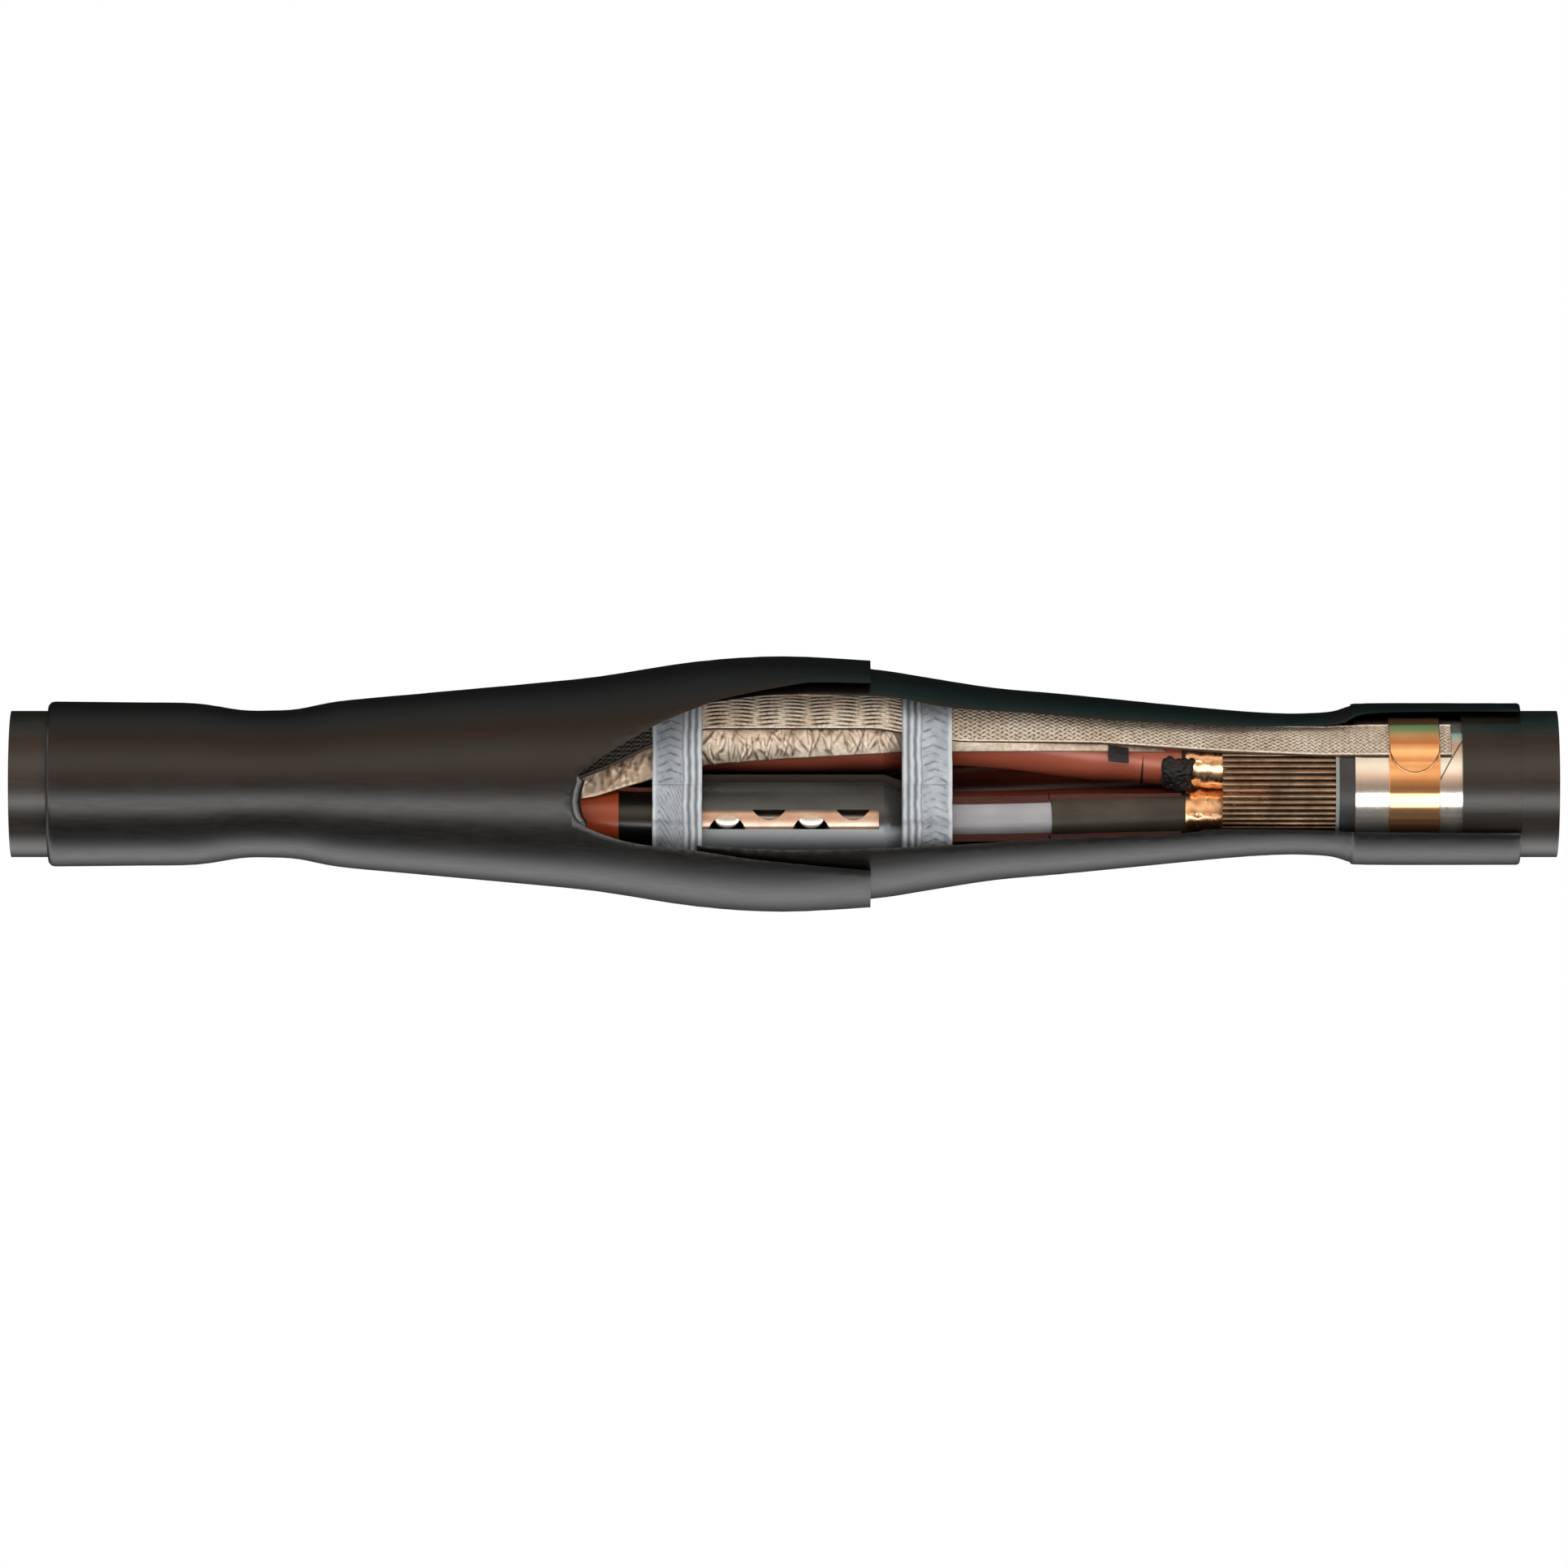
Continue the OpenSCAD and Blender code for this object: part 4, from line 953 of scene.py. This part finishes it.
def make_spring(side):
    node = f"roll_spring_{side}"
    low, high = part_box(node)
    tree = tree_of(node)
    whole = np.arange(0, 360, 0.5)
    edge = low.x + 0.4 * MM
    radius = np.array([np.linalg.norm(np.array(outside(tree, edge, a))[1:]) for a in whole])
    radius = np.mean([np.roll(radius, k) for k in range(-14, 15)], 0)
    # In fine steps over the front, which shows the round end
    turns = np.concatenate([np.arange(-45, 80, 0.5), np.arange(80, 315, 3)])
    r = np.interp(turns, whole, radius, period=360)
    # The left one is hidden by its jacket
    xs = np.linspace(low.x, high.x, 64 if side == "right" else 24)
    u = (xs - (low.x + high.x) / 2)[:, None]
    middle = SPRING_END + math.degrees(SPRING_R / r.mean())
    v = np.radians(turns - middle) * r
    inward = SPRING_R - np.hypot(u, np.minimum(v, 0))
    rise = np.clip(inward / (0.3 * MM), 0, 1) * 0.5 * MM
    rise *= np.interp(turns, [middle, 80, 300], [1, 0, 0])
    ends = 0.12 * MM * np.exp(-((SPRING_R - np.abs(u)) / (0.3 * MM)) ** 2)
    across = ring(0, 1, np.radians(turns))
    outer = across * (r + rise - ends)[..., None]
    inner = np.repeat((across * (r - SPRING_WALL)[:, None])[None], len(xs), 0)
    outer[..., 0] = inner[..., 0] = xs[:, None]
    mesh = slab_mesh(node, outer, inner, np.stack(np.broadcast_arrays(u, v), -1), True)
    add_piece(node + "_wound", mesh, "roll_spring", [node])


# Mastic pressed on by hand


def make_mastic():
    """Lumps along the CAD bead's own surface, run together into one ragged piece."""
    low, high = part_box("mastic_bead")
    tree = tree_of("mastic_bead")
    rng = np.random.default_rng(12)
    bm = bmesh.new()
    for x in np.arange(low.x - 1 * MM, high.x, 1.2 * MM):
        for z in np.arange(low.z, high.z, 1.2 * MM):
            place = Vector((x + rng.uniform(-1, 1) * MM, -RAY, z + rng.uniform(-1, 1) * MM))
            hit = tree.ray_cast(place, Vector((0, 1, 0)), RAY)[0]
            if hit is None:
                continue
            made = bmesh.ops.create_icosphere(bm, subdivisions=2, radius=rng.uniform(0.9, 2.1) * MM)
            bmesh.ops.translate(bm, verts=made["verts"], vec=hit + Vector((0, 0.5 * MM, 0)))
    mesh = bpy.data.meshes.new("mastic_bead_lumps")
    bm.to_mesh(mesh)
    bm.free()
    obj = add_piece("mastic_bead_lumps", mesh, "sealing_mastic", ["mastic_bead"])
    remesh = obj.modifiers.new("remesh", "REMESH")
    remesh.mode = "VOXEL"
    remesh.voxel_size = 0.42 * MM
    remesh.use_smooth_shade = True
    smooth = obj.modifiers.new("smooth", "SMOOTH")
    smooth.iterations = 3


# The slanted cut of the left jacket at its window's tip

# Its lowest point and its height, and how far in along the cable it reaches
CUT_LOW = -21 * MM
CUT_HEIGHT = 25 * MM
CUT_REACH = 5 * MM


def make_cut_wall():
    """A wedge between the window's edge and the jacket's inner face, widest at the tip."""
    tree = tree_of("outer_jacket_left")

    def on_jacket(x, z):
        hit = tree.ray_cast(Vector((x, -RAY, z)), Vector((0, 1, 0)), RAY)[0]
        # Through the window, a ray only meets the far wall
        return hit if hit is not None and hit.y < -0.02 else None

    outer, inner, uvs = [], [], []
    for share in np.linspace(0, 1, 41):
        z = CUT_LOW + CUT_HEIGHT * share
        edge = last_met(MIDDLE - 0.12, MIDDLE - 0.09, 14, lambda x, z=z: on_jacket(x, z) is not None)
        start = np.array(on_jacket(edge, z))
        reach = CUT_REACH * min(1, 3.2 * math.sin(math.pi * share))
        deep = reach * 0.9
        outer.append([start, start + (reach, deep, 0)])
        inner.append([start + (0, 0.1 * MM, 0), start + (0, deep + 0.1 * MM, 0)])
        uvs.append([(0, share), (1, share)])
    mesh = slab_mesh("jacket_cut_wall", np.array(outer), np.array(inner), np.array(uvs))
    add_piece("jacket_cut_wall", mesh, "outer_jacket", finish="cut_wall")


# Sheared bolts


def islands(mesh):
    """Lists of the points of each separate piece of a mesh."""
    parent = list(range(len(mesh.vertices)))

    def root(i):
        while parent[i] != i:
            parent[i] = parent[parent[i]]
            i = parent[i]
        return i

    same = {}
    for v in mesh.vertices:
        key = tuple(round(c / (0.001 * MM)) for c in v.co)
        parent[root(v.index)] = root(same.setdefault(key, v.index))
    for p in mesh.polygons:
        for v in p.vertices[1:]:
            parent[root(v)] = root(p.vertices[0])
    groups = {}
    for v in mesh.vertices:
        groups.setdefault(root(v.index), []).append(tuple(v.co))
    return [np.array(g) for g in groups.values()]


# Rings of points round a bolt's middle: their radius and depth, in millimetres
BOLT_RINGS = ((0.0, 0.0), (2.5, 0.0), (5.0, 0.05), (6.4, 0.25), (6.9, 0.7), (7.1, 3.0), (9.4, 3.2))
# The torn faces lie this far from the connector's axis
BOLT_TOP = 14.55 * MM


def make_bolts():
    """Each bolt sheared off in its hole: a bright face, and a sunken ring round it, darkened with painted
    shade.
    """
    axes = [np.array([sum(c) / 2 for c in zip(*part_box(f"connector_{core}"))]) for core in CORES]
    turns = circle(40)
    uvs = np.array([[(radius * MM, t * MM) for t in turns] for radius, _ in BOLT_RINGS])
    parts = []
    for group in islands(nodes["shear_bolts"].data):
        middle = (group.min(0) + group.max(0)) / 2
        core = min(axes, key=lambda c: np.linalg.norm((c - middle)[1:]))
        far = group[np.argsort(-np.linalg.norm((group - core)[:, 1:], axis=1))][:12].mean(0)
        out = np.array([0, *(far - core)[1:]])
        out /= np.linalg.norm(out)
        side = np.cross(out, [1, 0, 0])
        base = np.array([middle[0], core[1], core[2]])
        rows = []
        for radius, sunk in BOLT_RINGS:
            x, t = radius * MM * np.cos(turns), radius * MM * np.sin(turns)
            up = np.sqrt(BOLT_TOP**2 - t**2) - sunk * MM
            rows.append(base + np.outer(x, [1, 0, 0]) + np.outer(t, side) + np.outer(up, out))
        parts.append((np.stack(rows), uvs))
    add_piece("bolt_faces", joined_mesh("bolt_faces", parts), "shear_bolt", ["shear_bolts"])


# Stranded ends of the conductors

# Rings of wires in a conductor: their radius in millimetres, and how many wires
STRAND_RINGS = ((0, 1), (2.02, 6), (4.02, 12), (5.98, 18))
STRAND_R = 0.98 * MM
# A wire's rounded end: how far each ring stands out, in millimetres, and its share of the radius
STRAND_END = ((0.0, 1), (0.22, 1), (0.3, 0.85), (0.34, 0.3))


def make_strand_ends():
    """The cut ends of the wires in each conductor, in rings round a middle wire."""
    points, faces = [], []
    first = 0
    turns = circle(12)
    for node in (f"conductor_{side}_{core}" for side in SIDES for core in CORES):
        low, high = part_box(node)
        left = "left" in node
        cut, way = (low.x, -1) if left else (high.x, 1)
        ends = np.array([v.co for v in nodes[node].data.vertices if abs(v.co.x - cut) < 0.01 * MM])
        centre = ends.mean(0)
        for radius, count in STRAND_RINGS:
            for i in range(count):
                t = 2 * math.pi * i / count
                y = centre[1] + radius * MM * math.cos(t)
                z = centre[2] + radius * MM * math.sin(t)
                for out, share in STRAND_END:
                    r = STRAND_R * share
                    face = np.full(len(turns), cut + way * out * MM)
                    points.append(np.stack([face, y + r * np.cos(turns), z + r * np.sin(turns)], -1))
                faces.append(quads(len(STRAND_END), len(turns), True, first, not left))
                first += len(STRAND_END) * len(turns)
    mesh = mesh_of("strand_ends", np.concatenate(points), np.concatenate(faces))
    add_piece("strand_ends", mesh, "conductor")


# Studio

# The photograph shows hardly any perspective, so the camera is far off with a long lens
CAMERA_AWAY = 7.2
LENS = 336
FLOOR_HEIGHT = -1.4
FLOOR_HALF = 6.0
SCREEN_R = 1.3
# How far the screen goes on past either cable end
SCREEN_PAST = 1.5
LAMP_AWAY = 0.85
LAMP_WIDTH = 0.5
# Strength of the plain soft light from all round
SKY = 0.42
WHITE = (1, 1, 1, 1)


def white_when_seen(tree, rays, plain, white, output):
    """A white shader for the camera and the named rays, and a plain one for the rest."""
    path = tree.nodes.new("ShaderNodeLightPath")
    seen = path.outputs["Is Camera Ray"]
    for name in rays:
        most = tree.nodes.new("ShaderNodeMath")
        most.operation = "MAXIMUM"
        tree.links.new(seen, most.inputs[0])
        tree.links.new(path.outputs[f"Is {name} Ray"], most.inputs[1])
        seen = most.outputs[0]
    white.inputs["Color"].default_value = WHITE
    choice = tree.nodes.new("ShaderNodeMixShader")
    for number, source in enumerate((seen, plain.outputs[0], white.outputs[0])):
        tree.links.new(source, choice.inputs[number])
    tree.links.new(choice.outputs[0], output.inputs["Surface"])


def white_world():
    """White behind the object and in its reflections, and soft light on everything."""
    world = bpy.data.worlds.new("studio")
    bpy.context.scene.world = world
    world.use_nodes = True
    tree = world.node_tree
    tree.nodes.clear()
    soft, white = (tree.nodes.new("ShaderNodeBackground") for _ in range(2))
    soft.inputs["Color"].default_value = WHITE
    soft.inputs["Strength"].default_value = SKY
    output = tree.nodes.new("ShaderNodeOutputWorld")
    white_when_seen(tree, ("Glossy", "Transmission"), soft, white, output)


def add_lamp(name, elevation, length, radiance, tint=(1, 1, 1)):
    """A soft lamp for matt surfaces; what shiny ones reflect is the studio screen."""
    light = bpy.data.lights.new(name, "AREA")
    light.shape = "RECTANGLE"
    light.size, light.size_y = length, LAMP_WIDTH
    light.energy = radiance * math.pi * length * LAMP_WIDTH
    light.color = tint
    obj = new_object(name, light)
    obj.location = Vector((LENGTH / 2, 0, 0)) + facing(elevation) * LAMP_AWAY
    obj.rotation_euler = (math.radians(90 - elevation), 0, 0)
    obj.visible_camera = False
    obj.visible_glossy = False


# What shiny surfaces reflect, as (elevation, colour): soft boxes with dark gaps between them
SCREEN = (
    (-180, (0.01, 0.01, 0.01)),
    (-158, (0.05, 0.05, 0.05)),
    (-144, (0.25, 0.25, 0.25)),
    (-132, (1.1, 1.1, 1.1)),
    (-122, (2.3, 2.3, 2.3)),
    (-104, (2.3, 2.3, 2.3)),
    (-93, (0.6, 0.6, 0.6)),
    (-80, (0.13, 0.12, 0.12)),
    (-52, (0.08, 0.075, 0.07)),
    (-41, (0.12, 0.11, 0.1)),
    (-37, (3.6, 3.6, 3.55)),
    (-19, (3.6, 3.6, 3.55)),
    (-15, (0.22, 0.17, 0.12)),
    (-6, (0.22, 0.14, 0.1)),
    (4, (0.46, 0.29, 0.19)),
    (13, (0.86, 0.6, 0.43)),
    (22, (1.2, 0.98, 0.78)),
    (33, (1.2, 1.08, 0.9)),
    (48, (0.82, 0.67, 0.49)),
    (60, (0.64, 0.38, 0.24)),
    (70, (0.52, 0.27, 0.16)),
    (84, (0.48, 0.42, 0.35)),
    (98, (0.1, 0.36, 0.33)),
    (114, (0.02, 0.18, 0.17)),
    (130, (0.01, 0.03, 0.03)),
    (180, (0.01, 0.01, 0.01)),
)
BRIGHTEST = 3.6


def add_screen():
    """A screen all round the cable that only reflections see, in warm and teal bands."""
    turns = np.radians(np.linspace(-180, 180, 73))
    points = np.stack([ring(x, SCREEN_R, turns) for x in (-SCREEN_PAST, LENGTH + SCREEN_PAST)])
    mesh = mesh_of("screen", points, quads(2, len(turns)))
    obj = new_object("screen", mesh)
    s = Shader("screen_light")
    x, angle = s.turn()
    ramp = s.node("ValToRGB")
    stops = ramp.color_ramp.elements
    while len(stops) < len(SCREEN):
        stops.new(0.5)
    for stop, (elevation, color) in zip(stops, SCREEN):
        stop.position = (elevation + 180) / 360
        stop.color = (*(c / BRIGHTEST for c in color), 1)
    s.link(s.span(angle, -math.pi, math.pi), ramp.inputs[0])
    # Overhead, the teal is kept for the right end; the rest sees its bands in grey
    plain = s.node("RGBToBW", Color=ramp.outputs[0])
    below = s.span(angle, math.radians(90), math.radians(80))
    share = s.math("MAXIMUM", s.span(x, 0.5, 0.62, 0.2, 1), below)
    color = s.mix(share, plain.outputs[0], ramp.outputs[0])
    glow = s.node("Emission", Strength=BRIGHTEST, Color=color)
    s.link(glow.outputs[0], s.tree.nodes["Material Output"].inputs["Surface"])
    mesh.materials.append(s.material)
    for ray in ("camera", "diffuse", "shadow", "transmission", "volume_scatter"):
        setattr(obj, "visible_" + ray, False)


def add_floor():
    """A pale floor well below the cable."""
    corners = np.array([[(x, y, 0) for x in (-FLOOR_HALF, FLOOR_HALF)] for y in (-FLOOR_HALF, FLOOR_HALF)])
    mesh = mesh_of("floor", corners + (LENGTH / 2, 0, FLOOR_HEIGHT), quads(2, 2))
    obj = new_object("floor", mesh)
    # Nothing is mixed with this colour, so it is given as the linear one
    s = Shader("pale_floor", (0.8, 0.8, 0.8))
    mesh.materials.append(s.finish(0.9))
    output = s.tree.nodes["Material Output"]
    white_when_seen(s.tree, ["Glossy"], s.bsdf, s.node("Emission"), output)


def make_camera():
    camera = bpy.data.cameras.new("camera")
    camera.sensor_width = 36
    camera.lens = LENS
    obj = new_object("camera", camera)
    obj.location = (LENGTH / 2, -CAMERA_AWAY, 0)
    obj.rotation_euler = (math.radians(90), 0, 0)
    bpy.context.scene.camera = obj


def light_studio():
    white_world()
    add_floor()
    add_screen()
    add_lamp("key", elevation=42, length=1.8, radiance=1.9, tint=(1, 0.98, 0.95))
    add_lamp("fill", elevation=-28, length=1.9, radiance=0.9)


make_camera()
dress_nodes()
for name, width in (("outer_jacket_left", 0.5), ("outer_jacket_right", 0.5), ("mastic_patch", 0.25)):
    soften_edges(name, width * MM)
make_mesh_wrap()
make_braid()
for side in SIDES:
    make_tape(side)
for core in CORES:
    make_core_tape(core)
for side in SIDES:
    make_spring(side)
make_mastic()
make_cut_wall()
make_bolts()
make_strand_ends()
light_studio()
bpy.context.scene.view_settings.view_transform = "Standard"
